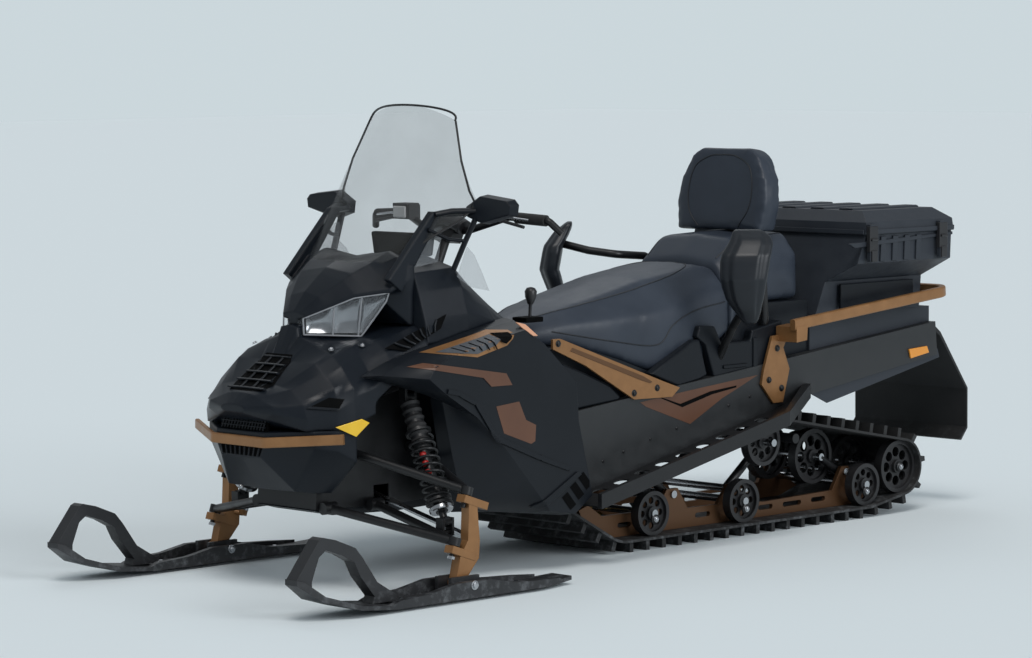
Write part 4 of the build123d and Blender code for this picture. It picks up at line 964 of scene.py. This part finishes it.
@dataclass
class Windscreen:
    """Edge trim, side deflectors, mirror brackets and glasses, and the dash."""

    radius: float = 330.0
    rake: float = 0.613
    top: float = 1402.0
    top_y: float = -719.0
    flank: tuple[tuple[float, float], ...] = ((222, 985), (252, 1022), (282, 1060), (293, 1085), (299, 1108),
                                              (280, 1150), (242, 1238), (191, 1354))

    def surface(self, x: Array, z: Array) -> Array:
        """Give points on the windscreen's front.

        Args:
            x: Sideways places.
            z: Heights.

        Returns:
            Points whose y is top_y - (top - z) rake + radius - sqrt(radius^2 - x^2).
        """
        y = self.top_y - (self.top - z) * self.rake + self.radius - np.sqrt(self.radius**2 - x**2)
        return np.stack((x, y, z), axis=-1)

    def build(self) -> None:
        """Build the windscreen's details in order."""
        angle = np.linspace(0, pi / 2, 16)
        arc = np.stack((189 * np.cos(angle), 1356 + 46 * np.sin(angle) ** 0.8), axis=-1)
        half = np.vstack((self.flank, arc))
        edge = np.vstack((half, half[-2::-1] * (-1, 1)))
        tube(self.surface(edge[:, 0], edge[:, 1]) + (0, 1.5, 0), 3.4, sides=8).piece("screen_trim", FRAME)
        near = [(-906, 928), (-855, 1039), (-779, 1047), (-796, 943)]
        prism(near, "x", 226.0, 229.0).both().piece("inner_deflectors", DEFLECTOR)
        rear = [(-774, 900), (-733, 986), (-705, 962), (-672, 905), (-645, 852), (-726, 868)]
        prism(rear, "x", 284.0, 287.0).both().piece("outer_deflectors", DEFLECTOR)
        joined(tube(path, radius, flat=0.7) for path, radius in (
            ([(234, -812, 1083), (262, -770, 1092), (300, -712, 1092)], 13.0),
            ([(300, -704, 1080), (286, -742, 1000), (274, -778, 920)], 11.0),
            ([(240, -846, 1040), (262, -786, 1010), (284, -742, 1004)], 8.0),
        )).both().piece("mirror_brackets", BODY)
        glass = [(284, 1066), (332, 1062), (442, 1086), (446, 1108), (436, 1120), (328, 1130), (290, 1110)]
        prism(glass, "y", -683.0, -681.0).both().piece("mirror_glasses", MIRROR)
        dash = prism([(-120, 952), (120, 952), (132, 1020), (-132, 1020)], "y", -742.0, -716.0)
        dash.piece("instrument_housing", DARK_PLASTIC_AND_PAINTED_SHADE, soft=6.0)
        face = prism([(-96, 962), (96, 962), (102, 1012), (-102, 1012)], "y", -716.0, -713.0)
        face.piece("instrument_glass", MIRROR, soft=1.0)


@dataclass
class Flanks:
    """Copper film, vents and slots painted as dark films of shade, lips and intake frames of the side panels.
    """

    panel: str = "side_panel_{side}"

    def build(self) -> None:
        """Build the side panels' details in order."""
        for name, outline, finish, lift in (
            ("upper_film", [(-1025, 654), (-977, 663), (-680, 615), (-656, 579), (-741, 580), (-773, 608)],
             COPPER, 2.5),
            ("lower_film", [(-721, 520), (-627, 528), (-599, 471), (-558, 453), (-562, 405), (-579, 398),
                            (-690, 438)], COPPER, 0.8),
            ("intake_frame", [(-950, 690), (-770, 728), (-696, 742), (-641, 740), (-652, 716), (-676, 697),
                              (-796, 670)], BRONZE, 2.0),
            ("intake_mesh", [(-915, 690), (-775, 719), (-712, 731), (-704, 716), (-722, 702), (-796, 680)],
             LOUVRE, 5.0),
            # painted shade: a very dark film stands in for the shaded hole at the intake's end
            ("intake_hole_painted_shade", [(-706, 734), (-655, 735), (-664, 716), (-684, 703), (-706, 710)], DARK_PLASTIC_AND_PAINTED_SHADE, 8.0),
        ):
            side_films(name, outline, self.panel, finish, lift)
        # painted shade: very dark bars across the intake mesh stand in for the shaded gaps between its blades
        for count, share in enumerate((0.25, 0.4, 0.55, 0.7, 0.85)):
            y, low, high = -915 + 200 * share, 690 - 2 * share, 690 + 38 * share
            bar = [(y, high), (y + 5, high + 1), (y + 26, low), (y + 20, low)]
            side_films(f"louvre_{count}", bar, self.panel, DARK_PLASTIC_AND_PAINTED_SHADE, lift=8.0)
        lip = [(-918, 572), (-874, 562), (-806, 528), (-742, 442), (-718, 416), (-542, 345), (-421, 303),
               (-417, 316), (-538, 359), (-708, 430), (-732, 452), (-798, 540), (-870, 575), (-914, 585)]
        side_films("panel_lip", lip, self.panel, BODY, thick=5.0)
        rear = [(-562, 207), (-389, 299), (-372, 290), (-528, 200)]
        side_films("rear_lip", rear, self.panel, BODY, thick=5.0)
        # painted shade: very dark films stand in for the three shaded lower vent slots
        for count, (y, z) in enumerate(((-452, 226), (-418, 254), (-384, 281))):
            slot = [(y, z), (y + 24, z + 15), (y + 60, z - 26), (y + 36, z - 41)]
            side_films(f"slot_{count}", slot, self.panel, DARK_PLASTIC_AND_PAINTED_SHADE, lift=1.2)
        badge = [(350, -604, 752), (360, -574, 744), (392, -554, 711), (393, -572, 712), (378, -598, 733)]
        plate(badge, 4.0).shifted(4, 0, 6).both().piece("badge_plates", ORANGE, soft=1.0)


@dataclass
class Cockpit:
    """Cup, pad, levers and gear knob round the handlebar."""

    def build(self) -> None:
        """Build the cockpit's details in order."""
        block((-226, -566, 1052), (-172, -556, 1088)).piece("fluid_cup", WHITE, "steering", soft=4.0)
        block((-232, -562, 1088), (-166, -508, 1097)).piece("fluid_cap", CONTROL, "steering", soft=3.0)
        pad = [(-78, -548, 1028), (-40, -552, 1046), (0, -553, 1052), (40, -552, 1046), (78, -548, 1028)]
        tube(smoothed(pad), 30.0, flat=0.8, sides=20).piece("bar_pad", CONTROL, "steering", smooth=60.0)
        lever = ((200, -548, 1062), (250, -546, 1066), (300, -538, 1062), (336, -528, 1058))
        joined(
            tube(smoothed([(sign * x, y, z) for x, y, z in lever]), 6.0, flat=0.6) for sign in (-1.0, 1.0)
        ).piece("levers", STEEL, "steering")
        profile = [(5, 0), (5, 46), (9, 50), (17, 70), (19, 88), (13, 98), (4, 101)]
        knob = lathe(profile, (156, -352, 742), (148, -338, 836))
        knob.piece("shift_knob", CONTROL, smooth=50.0)
        block((120, -392, 736), (182, -318, 752)).piece("shift_gate", DARK_PLASTIC_AND_PAINTED_SHADE, soft=3.0)


@dataclass
class Guards:
    """Rounded shells of the two hand guards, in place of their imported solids."""

    middles: tuple[Point, ...] = ((402, 362, 700), (417, 338, 760), (435, 319, 843), (430, 334, 920),
                                  (406, 380, 998))
    shells: tuple[tuple[float, float, float, float], ...] = (
        # height, sideways shift, half width, half depth
        (700, 8, 14, 9), (706, 8, 22, 14), (715, 8, 28, 17), (740, 5, 41, 21), (780, -3, 59, 26),
        (820, -6, 69, 29), (860, -7, 75, 30), (900, -7, 78, 30), (925, -4, 77, 28), (955, 3, 70, 25),
        (975, 1, 62, 21), (990, -9, 51, 15), (998, -15, 38, 8),
    )
    crown: float = 7.0
    crown_edge: float = 0.62
    crown_fade: float = 0.10
    crown_span: tuple[float, float] = (715.0, 985.0)
    squareness: tuple[float, float] = (0.75, 0.65)

    def build(self) -> None:
        """Build the shells.

        Point (z, a) is middle(z) + (shift + half c) across + (depth s + crown) outward, where c and s
        are the rounded cosine and sine of a, across and outward lie level at 45 degrees to the
        vehicle, and the crown is a raised band over half the width that fades out at its edges.
        """
        table = np.array(self.shells, float)
        middles = np.array(self.middles, float)
        z = np.linspace(table[0, 0], table[-1, 0], 60)
        shift, half, depth = (np.interp(z, table[:, 0], table[:, k])[:, None, None] for k in (1, 2, 3))
        middle = np.stack([np.interp(z, middles[:, 2], middles[:, k]) for k in range(3)], axis=-1)[:, None]
        angle = np.linspace(0, 2 * pi, 64, endpoint=False)
        across, outward = np.array((1.0, 1.0, 0.0)) / 2**0.5, np.array((1.0, -1.0, 0.0)) / 2**0.5
        wide, deep = (
            (np.sign(wave) * np.abs(wave) ** power)[None, :, None]
            for wave, power in zip((np.cos(angle), np.sin(angle)), self.squareness)
        )
        low, high = self.crown_span
        foot, head = (np.clip(rise, 0, 1)[:, None, None] for rise in ((z - low) / 30, (high - z) / 16))
        band = np.clip((self.crown_edge - np.abs(wide)) / self.crown_fade, 0, 1) * (deep > 0) * foot * head
        rows = middle + (shift + half * wide) * across + (depth * deep + self.crown * band) * outward
        shell = grid(rows, closed_v=True, caps=True).both().piece("guard_shells", GUARD, smooth=50.0)
        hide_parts("hand_guards")


# ---------------------------------------------------------------- rear


@dataclass
class Tunnel:
    """Film, pods, housings and fasteners along the tunnel."""

    def build(self) -> None:
        """Build the tunnel's details in order."""
        warm = [(14, 470), (131, 482), (300, 497), (559, 519), (464, 483), (389, 456), (240, 385), (41, 454)]
        side_films("tunnel_film", warm, "tunnel", COPPER)
        dark = [(86, 486), (195, 452), (333, 482), (455, 492), (455, 486), (342, 472), (204, 441), (113, 474)]
        side_films("tunnel_stripe", dark, "tunnel", DARK_PLASTIC_AND_PAINTED_SHADE, lift=1.6)
        for name, finish, soft, walls in (
            ("storage_pods", BODY, 9.0, (
                ([(66, 554), (266, 648), (294, 650), (330, 533), (298, 522), (197, 506)], 228.0, 262.0),
                ([(-330, 618), (-225, 580), (-108, 532), (-60, 492), (-73, 482), (-330, 462)], 228.0, 262.0),
            )),
            ("step_housings", BODY, 6.0, (
                ([(322, 629), (280, 657), (294, 691), (364, 687), (396, 631), (528, 632), (538, 664),
                  (686, 688), (691, 509), (368, 505)], 230.0, 262.0),
            )),
            ("housing_ribs", BODY, 3.0, (
                ([(400, 560), (510, 560), (510, 548), (400, 548)], 258.0, 268.0),
                ([(540, 640), (560, 640), (560, 530), (540, 530)], 258.0, 267.0),
            )),
        ):
            joined(prism(outline, "x", low, high) for outline, low, high in walls).both().piece(
                name, finish, soft=soft)
        self.bolt_row("tunnel_rivets", 268.0, (
            (-330, 300), (-300, 262), (-250, 262), (-150, 300), (-60, 322), (60, 352), (180, 376), (420, 430),
            (520, 452), (600, 470),
        ), 4.0, 3.0)
        self.bolt_row("strut_bolts", 277.0, ((-21.0, 502.0), (82.0, 511.0), (-350.0, 676.0)))
        slot = [(-300, 650), (-290, 660), (20, 552), (60, 532), (50, 528), (10, 540)]
        prism(slot, "x", 277.0, 279.0).both().piece("strut_groove", RAIL, soft=0.6)
        amber = [(1306, 555), (1400, 560), (1411, 537), (1316, 523)]
        prism(amber, "x", 268.0, 274.0).both().piece("side_reflectors", AMBER, soft=1.2)
        skirt = [(820, 440), (905, 402), (1128, 446), (1482, 516), (1472, 546), (1128, 500)]
        prism(skirt, "x", 256.0, 260.0).both().piece("tunnel_skirts", BOX, soft=1.0)
        self.bolt_row("bracket_bolts", 278.5, ((640.0, 600.0), (660.0, 470.0), (600.0, 500.0)))

    def bolt_row(self, name: str, x: float, places: tuple[tuple[float, float], ...], radius: float = 8.0,
                 height: float = 6.0) -> None:
        """Set bolts on both flanks.

        Args:
            name: Name of the piece.
            x: How far out their flanges rest.
            places: Their Y and Z.
            radius: Radius of the heads.
            height: Height of the heads.
        """
        heads = bolts([(x, y, z) for y, z in places], (1, 0, 0), radius, height)
        heads.both().piece(name, FRAME)


@dataclass
class CargoBox:
    """Ridges, ribs, side panels and latches of the box, the flap's ribs and the tail lamp's lenses."""

    def build(self) -> None:
        """Build the rear details in order."""
        self.lid()
        self.walls()
        self.latches()
        wells = prism([(262, 704), (272, 704), (272, 790), (262, 790)], "y", 960.0, 1330.0)
        wells.both().piece("box_side_panels", BODY, soft=3.0)
        self.tail()

    def lid(self) -> None:
        """Build the lid's ridges and rim."""
        joined(
            prism([(x - 34, 1031), (x + 34, 1031), (x + 26, 1038), (x - 26, 1038)], "y", 1010.0, 1345.0)
            for x in (-250.0, -125.0, 0.0, 125.0, 250.0)
        ).piece("lid_ridges", BOX, "cargo_lid", soft=3.0)
        rim = block((387, 962, 957), (392, 1392, 972)) + block((-384, 1403, 957), (384, 1407, 972))
        rim += block((-380, 946, 957), (380, 951, 972))
        rim.piece("lid_rim", BOX, "cargo_lid", soft=1.5)

    def walls(self) -> None:
        """Build the ribs and the band on the box's sides."""
        joined(
            prism([(376, 866), (382, 866), (386, 948), (380, 948)], "y", y, y + 26)
            for y in (1030.0, 1090.0, 1150.0, 1210.0)
        ).both().piece("box_ribs", BOX, soft=2.0)
        band = prism([(868, 930), (1396, 950), (1396, 940), (900, 915)], "x", 376.0, 386.0)
        band.both().piece("box_band", BOX, soft=2.0)

    def latches(self) -> None:
        """Build the two latches, each a plate, a handle and a pin."""
        parts = []
        for y in (975.0, 1330.0):
            parts += [
                block((386, y - 21, 900), (402, y + 21, 984)),
                block((396, y - 14, 868), (406, y + 14, 905)),
                tube([(404, y - 16, 940), (404, y + 16, 940)], 5.0),
            ]
        joined(parts).piece("latch_bodies", CONTROL, "cargo_lid", soft=2.5)

    def tail(self) -> None:
        """Build the snow flap's ribs and the tail lamp's lenses."""
        places = [(1500 + (600 - z) * 0.73, z) for z in (560.0, 500.0, 440.0)]
        places += [(1646.0, z) for z in (380.0, 330.0, 285.0)]
        ribs = joined(tube([(-235, y + 2, z), (235, y + 2, z)], 7.0, flat=0.8) for y, z in places)
        ribs.piece("flap_ribs", GRIP)
        block((-150, 1476, 655), (150, 1480, 681)).piece("tail_lens", TAIL, soft=1.5)
        for sign, side in ((-1.0, "right"), (1.0, "left")):
            corner = block((sign * 176 - 14, 1462, 656), (sign * 176 + 14, 1479, 680))
            corner.piece(f"tail_corner_{side}", WHITE, soft=1.5)


# ---------------------------------------------------------------- running gear


@dataclass
class Suspension:
    """Springs, bellows, ball joints and nuts of the front suspension."""

    foot: Point = (460.8, -993.0, 212.0)
    head: Point = (258.0, -949.0, 556.0)
    ball: Point = (538.5, -1036.0, 141.0)
    lean: float = 19.0

    def along(self, share: float) -> Point:
        """Give a point on the shock's axis, from 0 at its foot to 1 at its head."""
        foot, head = np.array(self.foot), np.array(self.head)
        return tuple(foot + share * (head - foot))

    def build(self) -> None:
        """Build the suspension's details in order."""
        self.shocks()
        self.ball_joints()
        for side, sign in SIDES:
            nuts = bolts([(sign * 616.0, -1023.0, 47.0)], (sign, 0, 0), 10.0, 7.0)
            nuts += bolts([(sign * 469.0, -1023.0, 47.0)], (-sign, 0, 0), 10.0, 7.0)
            nuts.piece(f"ski_nuts_{side}", STEEL, f"ski_{side}")
            heads = [(sign * 542.5, y, 24.0) for y in (-1240.0, -1150.0, -880.0, -790.0)]
            bolts(heads, (0, 0, 1), 7.0, 5.0).piece(f"runner_bolts_{side}", STEEL, f"ski_{side}")

    def shocks(self) -> None:
        """Build the shocks' springs, bellows, seats, bodies and marks."""
        coil(self.along(0.10), self.along(0.66), 36.0, 4.4, 9.5).both().piece("front_springs", FRAME)
        for name, profile, share, finish in (
            ("shock_bellows", [(24.0 if k % 2 else 30.0, 12.0 * k) for k in range(11)], 0.64, GRIP),
            ("spring_seats", [(33, 0), (36, 3), (36, 12), (33, 15)], 0.08, STEEL),
            ("damper_bodies", [(16, 0), (16, 190), (13, 196)], 0.14, FRAME),
        ):
            lathe(profile, self.along(share), self.along(1.0)).both().piece(name, finish)
        mark = [(9, -6), (10, -4), (10, 4), (9, 6)]
        joined(
            lathe(mark, tuple(np.array(self.along(share)) + (11.0, -17.0, 0.0)), self.along(1.0), 10)
            for share in (0.40, 0.47, 0.54)
        ).both().piece("damper_marks", RED)

    def ball_joints(self) -> None:
        """Build a cap and a nut on each of the spindles' ball joints, along the leaning king pin."""
        up = np.array((0.0, sin(radians(self.lean)), cos(radians(self.lean))))
        ball = np.array(self.ball)
        cap, nut = [(9, 0), (13, 3), (13, 9), (9, 12)], [(11, -8), (11, 0)]
        joints = joined(
            lathe(profile, tuple(ball + up * (along + start)), tuple(ball + up * 400), sides)
            for along in (-22.0, 150.0)
            for profile, start, sides in ((cap, 10, 16), (nut, 4, 6))
        )
        joints.piece("ball_joints_left", STEEL, "spindle_left")
        joints.mirrored().piece("ball_joints_right", STEEL, "spindle_right")


@dataclass
class Skid:
    """Wheel caps and fasteners of the skid."""

    hubs: tuple[tuple[float, float], ...] = ((114.0, 92.0), (536.0, 85.0), (1130.0, 88.0), (1304.0, 156.0))

    def build(self) -> None:
        """Build a cap and a nut on each wheel."""
        profile = [(17, 0), (17, 4), (12, 8), (5, 9)]
        caps = joined(lathe(profile, (233.0, y, z), (300.0, y, z), 18) for y, z in self.hubs)
        caps.both().piece("wheel_caps", FRAME)
        nuts = bolts([(241.0, y, z) for y, z in self.hubs], (1, 0, 0), 7.0, 5.0)
        nuts.both().piece("wheel_nuts", STEEL)


# ---------------------------------------------------------------- soft goods


SEAM_LIFT = 0.2


@dataclass
class Cushion:
    """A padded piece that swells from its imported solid."""

    node: str
    name: str
    voxel: float
    rounding: int
    cap: float
    fill: float
    frames: int = 20
    pressure: float = 4.0
    stiffness: float = 25.0
    settling: int = 8

    def build(self) -> Piece:
        """Copy the node, remesh it, round it, let it swell, and cap how far each point moves.

        Returns:
            The cushion, in place of its node.
        """
        source = frame["nodes"][self.node]
        mesh = source.data.copy()
        mesh.name = self.name
        mesh.transform(source.matrix_world)
        made = placed(self.name, mesh)
        tidy(made, 180.0)
        remesh = made.modifiers.new("cells", "REMESH")
        remesh.mode = "VOXEL"
        remesh.voxel_size = self.voxel * MM * 1.0
        self.relax(made, "rounding", self.rounding)
        self.swell(made)
        self.relax(made, "pressed flat", self.settling)
        finer = made.modifiers.new("finer", "SUBSURF")
        finer.levels = finer.render_levels = 1
        settled(made)
        made.data.materials.clear()
        made.data.materials.append(VINYL.material())
        made.data.shade_smooth()
        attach(made, "chassis")
        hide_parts(self.node)
        return made

    def relax(self, made: Piece, name: str, rounds: int) -> None:
        """Draw every point halfway to the middle of its neighbours, a number of times.

        Args:
            made: The piece, whose mesh is changed.
            name: Name of the step.
            rounds: How many times.
        """
        even = made.modifiers.new(name, "SMOOTH")
        even.factor = 0.5
        even.iterations = rounds
        settled(made)

    def swell(self, made: Piece) -> None:
        """Blow the piece up as cloth with pressure, and keep every point within cap of its start.

        Args:
            made: The piece, whose mesh is changed.
        """
        start = np.empty(len(made.data.vertices) * 3)
        made.data.vertices.foreach_get("co", start)
        cloth = made.modifiers.new("swelling", "CLOTH")
        cloth.settings.quality = 4
        cloth.settings.use_pressure = True
        cloth.settings.uniform_pressure_force = self.pressure
        cloth.settings.tension_stiffness = self.stiffness
        cloth.settings.compression_stiffness = self.stiffness
        cloth.settings.effector_weights.gravity = 0.0
        cloth.point_cache.frame_start, cloth.point_cache.frame_end = 1, self.frames
        for step in range(1, self.frames + 1):
            bpy.context.scene.frame_set(step)
        swollen = made.evaluated_get(bpy.context.evaluated_depsgraph_get()).to_mesh()
        end = np.empty_like(start)
        swollen.vertices.foreach_get("co", end)
        made.modifiers.clear()
        moved = (end - start).reshape(-1, 3)
        length = np.linalg.norm(moved, axis=1, keepdims=True)
        moved *= np.minimum(1.0, self.cap * MM / np.maximum(length, 1e-9))
        made.data.vertices.foreach_set("co", (start.reshape(-1, 3) + moved).ravel())
        made.data.update()
        bpy.context.scene.frame_set(1)


def seam(name: str, base: Piece, line: list[Point], radius: float) -> None:
    """Lay piping on a cushion.

    Args:
        name: Name of the piece.
        base: The cushion.
        line: Points near its surface that the piping runs through.
        radius: Radius of the piping.
    """
    tree = BVHTree.FromObject(base, bpy.context.evaluated_depsgraph_get())
    hits = [tree.find_nearest(Vector(point * MM)) for point in smoothed(line, 10)]
    laid = np.array([(place + normal * SEAM_LIFT * MM) / MM for place, normal, _, _ in hits])
    piece = tube(laid, radius, sides=8).piece(name, PIPING, smooth=80.0)
    piece.data.shade_smooth()


@dataclass
class Seats:
    """Driver's and passenger's seats and the backrest, with their seams."""

    def build(self) -> None:
        """Build the cushions, then their seams on the right and on the left."""
        driver = Cushion("driver_seat", "driver_cushion", 9.0, 26, 5.0, 0.8).build()
        passenger = Cushion("passenger_seat", "passenger_cushion", 8.0, 16, 5.0, 0.8).build()
        back = Cushion("backrest", "back_cushion", 6.0, 14, 5.0, 0.85).build()
        seams = (
            ("driver_seam", driver, 2.2, (
                (70, -300, 745), (120, -180, 775), (150, -20, 800), (165, 150, 835), (150, 300, 862),
                (100, 400, 876), (0, 440, 884),
            )),
            ("driver_lower_seam", driver, 2.0, (
                (150, -250, 700), (215, -40, 660), (238, 130, 640), (240, 200, 700), (240, 300, 740),
                (240, 440, 760),
            )),
            ("passenger_seam", passenger, 2.2, (
                (150, 490, 890), (158, 540, 930), (150, 600, 962), (145, 700, 966), (140, 810, 968),
            )),
            ("back_seam", back, 2.2, (
                (90, 660, 985), (130, 655, 1040), (140, 660, 1110), (120, 675, 1180), (60, 690, 1212),
                (0, 692, 1218),
            )),
        )
        for sign, side in ((-1.0, "right"), (1.0, "left")):
            for name, base, radius, line in seams:
                seam(f"{name}_{side}", base, [(sign * x, y, z) for x, y, z in line], radius)


# ---------------------------------------------------------------- stage


FLOOR: Colour = (0.78, 0.85, 0.88)
SKY_TINT: Colour = (0.86, 0.94, 1.0)


@dataclass
class Studio:
    """Floor, lamps, sky and camera."""

    eye: Point = (7.9672, -7.9393, 1.5622)
    yaw: float = 46.053
    pitch: float = 4.450
    roll: float = -0.403
    lens: float = 124.874
    floor_half: float = 60.0
    sky_light: float = 0.32
    backdrop: Colour = (0.601, 0.680, 0.715)

    def camera(self) -> None:
        """Place the camera: it looks along the yaw and pitch, turned by the roll about its view."""
        yaw, pitch, roll = (radians(angle) for angle in (self.yaw, self.pitch, self.roll))
        ahead = Vector((-sin(yaw) * cos(pitch), cos(yaw) * cos(pitch), -sin(pitch)))
        right = Vector((cos(yaw), sin(yaw), 0.0))
        above = right.cross(ahead)
        side = cos(roll) * right + sin(roll) * above
        top = -sin(roll) * right + cos(roll) * above
        data = bpy.data.cameras.new("view")
        data.lens = self.lens
        data.clip_end = 200.0
        camera = placed("view", data)
        camera.matrix_world = Matrix.Translation(self.eye) @ Matrix((side, top, -ahead)).transposed().to_4x4()
        bpy.context.scene.camera = camera

    def lamp(self, name: str, place: Point, power: float, spread: float, colour: Colour) -> None:
        """Add one distant soft lamp that shines on the middle of the vehicle.

        Args:
            name: Name of the lamp.
            place: The direction that it shines from.
            power: Its power in watts a square metre.
            spread: Its width in degrees, which softens its shadows.
            colour: Its light's colour.
        """
        data = bpy.data.lights.new(name, "SUN")
        data.energy = power
        data.angle = radians(spread)
        data.color = colour
        placed(name, data).rotation_euler = (-Vector(place)).to_track_quat("-Z", "Y").to_euler()

    def world(self) -> None:
        """Light the scene with an even pale sky, which the camera sees in the floor's colour."""
        world = bpy.data.worlds.new("sky")
        world.use_nodes = True
        tree = world.node_tree
        light = (*(self.sky_light * part for part in SKY_TINT), 1.0)
        ray = add(tree, "LightPath", {}).outputs["Is Camera Ray"]
        seen = add(tree, "Mix", {"A": light, "B": (*self.backdrop, 1.0), "Factor": ray}, data_type="RGBA")
        feed(tree, tree.nodes["Background"], {"Color": seen.outputs["Result"], "Strength": 1.0})
        bpy.context.scene.world = world

    def floor(self) -> None:
        """Lay the plain pale floor."""
        half = self.floor_half
        mesh = bpy.data.meshes.new("floor")
        corners = [(-half, -half, 0), (half, -half, 0), (half, half, 0), (-half, half, 0)]
        mesh.from_pydata(corners, [], [(0, 1, 2, 3)])
        made = bpy.data.materials.new("floor")
        made.use_nodes = True
        feed(made.node_tree, made.node_tree.nodes["Principled BSDF"], {
            "Base Color": (*FLOOR, 1.0), "Roughness": 1.0, "Specular IOR Level": 0.0,
        })
        mesh.materials.append(made)
        floor = placed("floor", mesh)

    def build(self) -> None:
        """Build the stage in order."""
        self.camera()
        self.world()
        self.floor()
        self.lamp("key", (3.0, -3.0, 7.0), 1.15, 24.0, (1.0, 0.97, 0.94))
        self.lamp("side", (6.0, 1.0, 2.5), 1.2, 30.0, (0.94, 0.97, 1.0))
        self.lamp("back", (-4.0, 3.0, 5.0), 0.25, 30.0, (0.95, 0.98, 1.0))
        bpy.context.scene.view_settings.view_transform = "Standard"


def main() -> None:
    """Build every sub-assembly in order."""
    logging.basicConfig(level=logging.INFO)
    Studio().build()
    dress_nodes()
    for assembly in (Nose(), Headlights(), Windscreen(), Flanks(), Cockpit(), Guards(), Tunnel(), CargoBox(),
                     Suspension(), Skid(), Seats()):
        assembly.build()
        LOG.info("built %s", type(assembly).__name__)


if __name__ == "__main__":
    main()
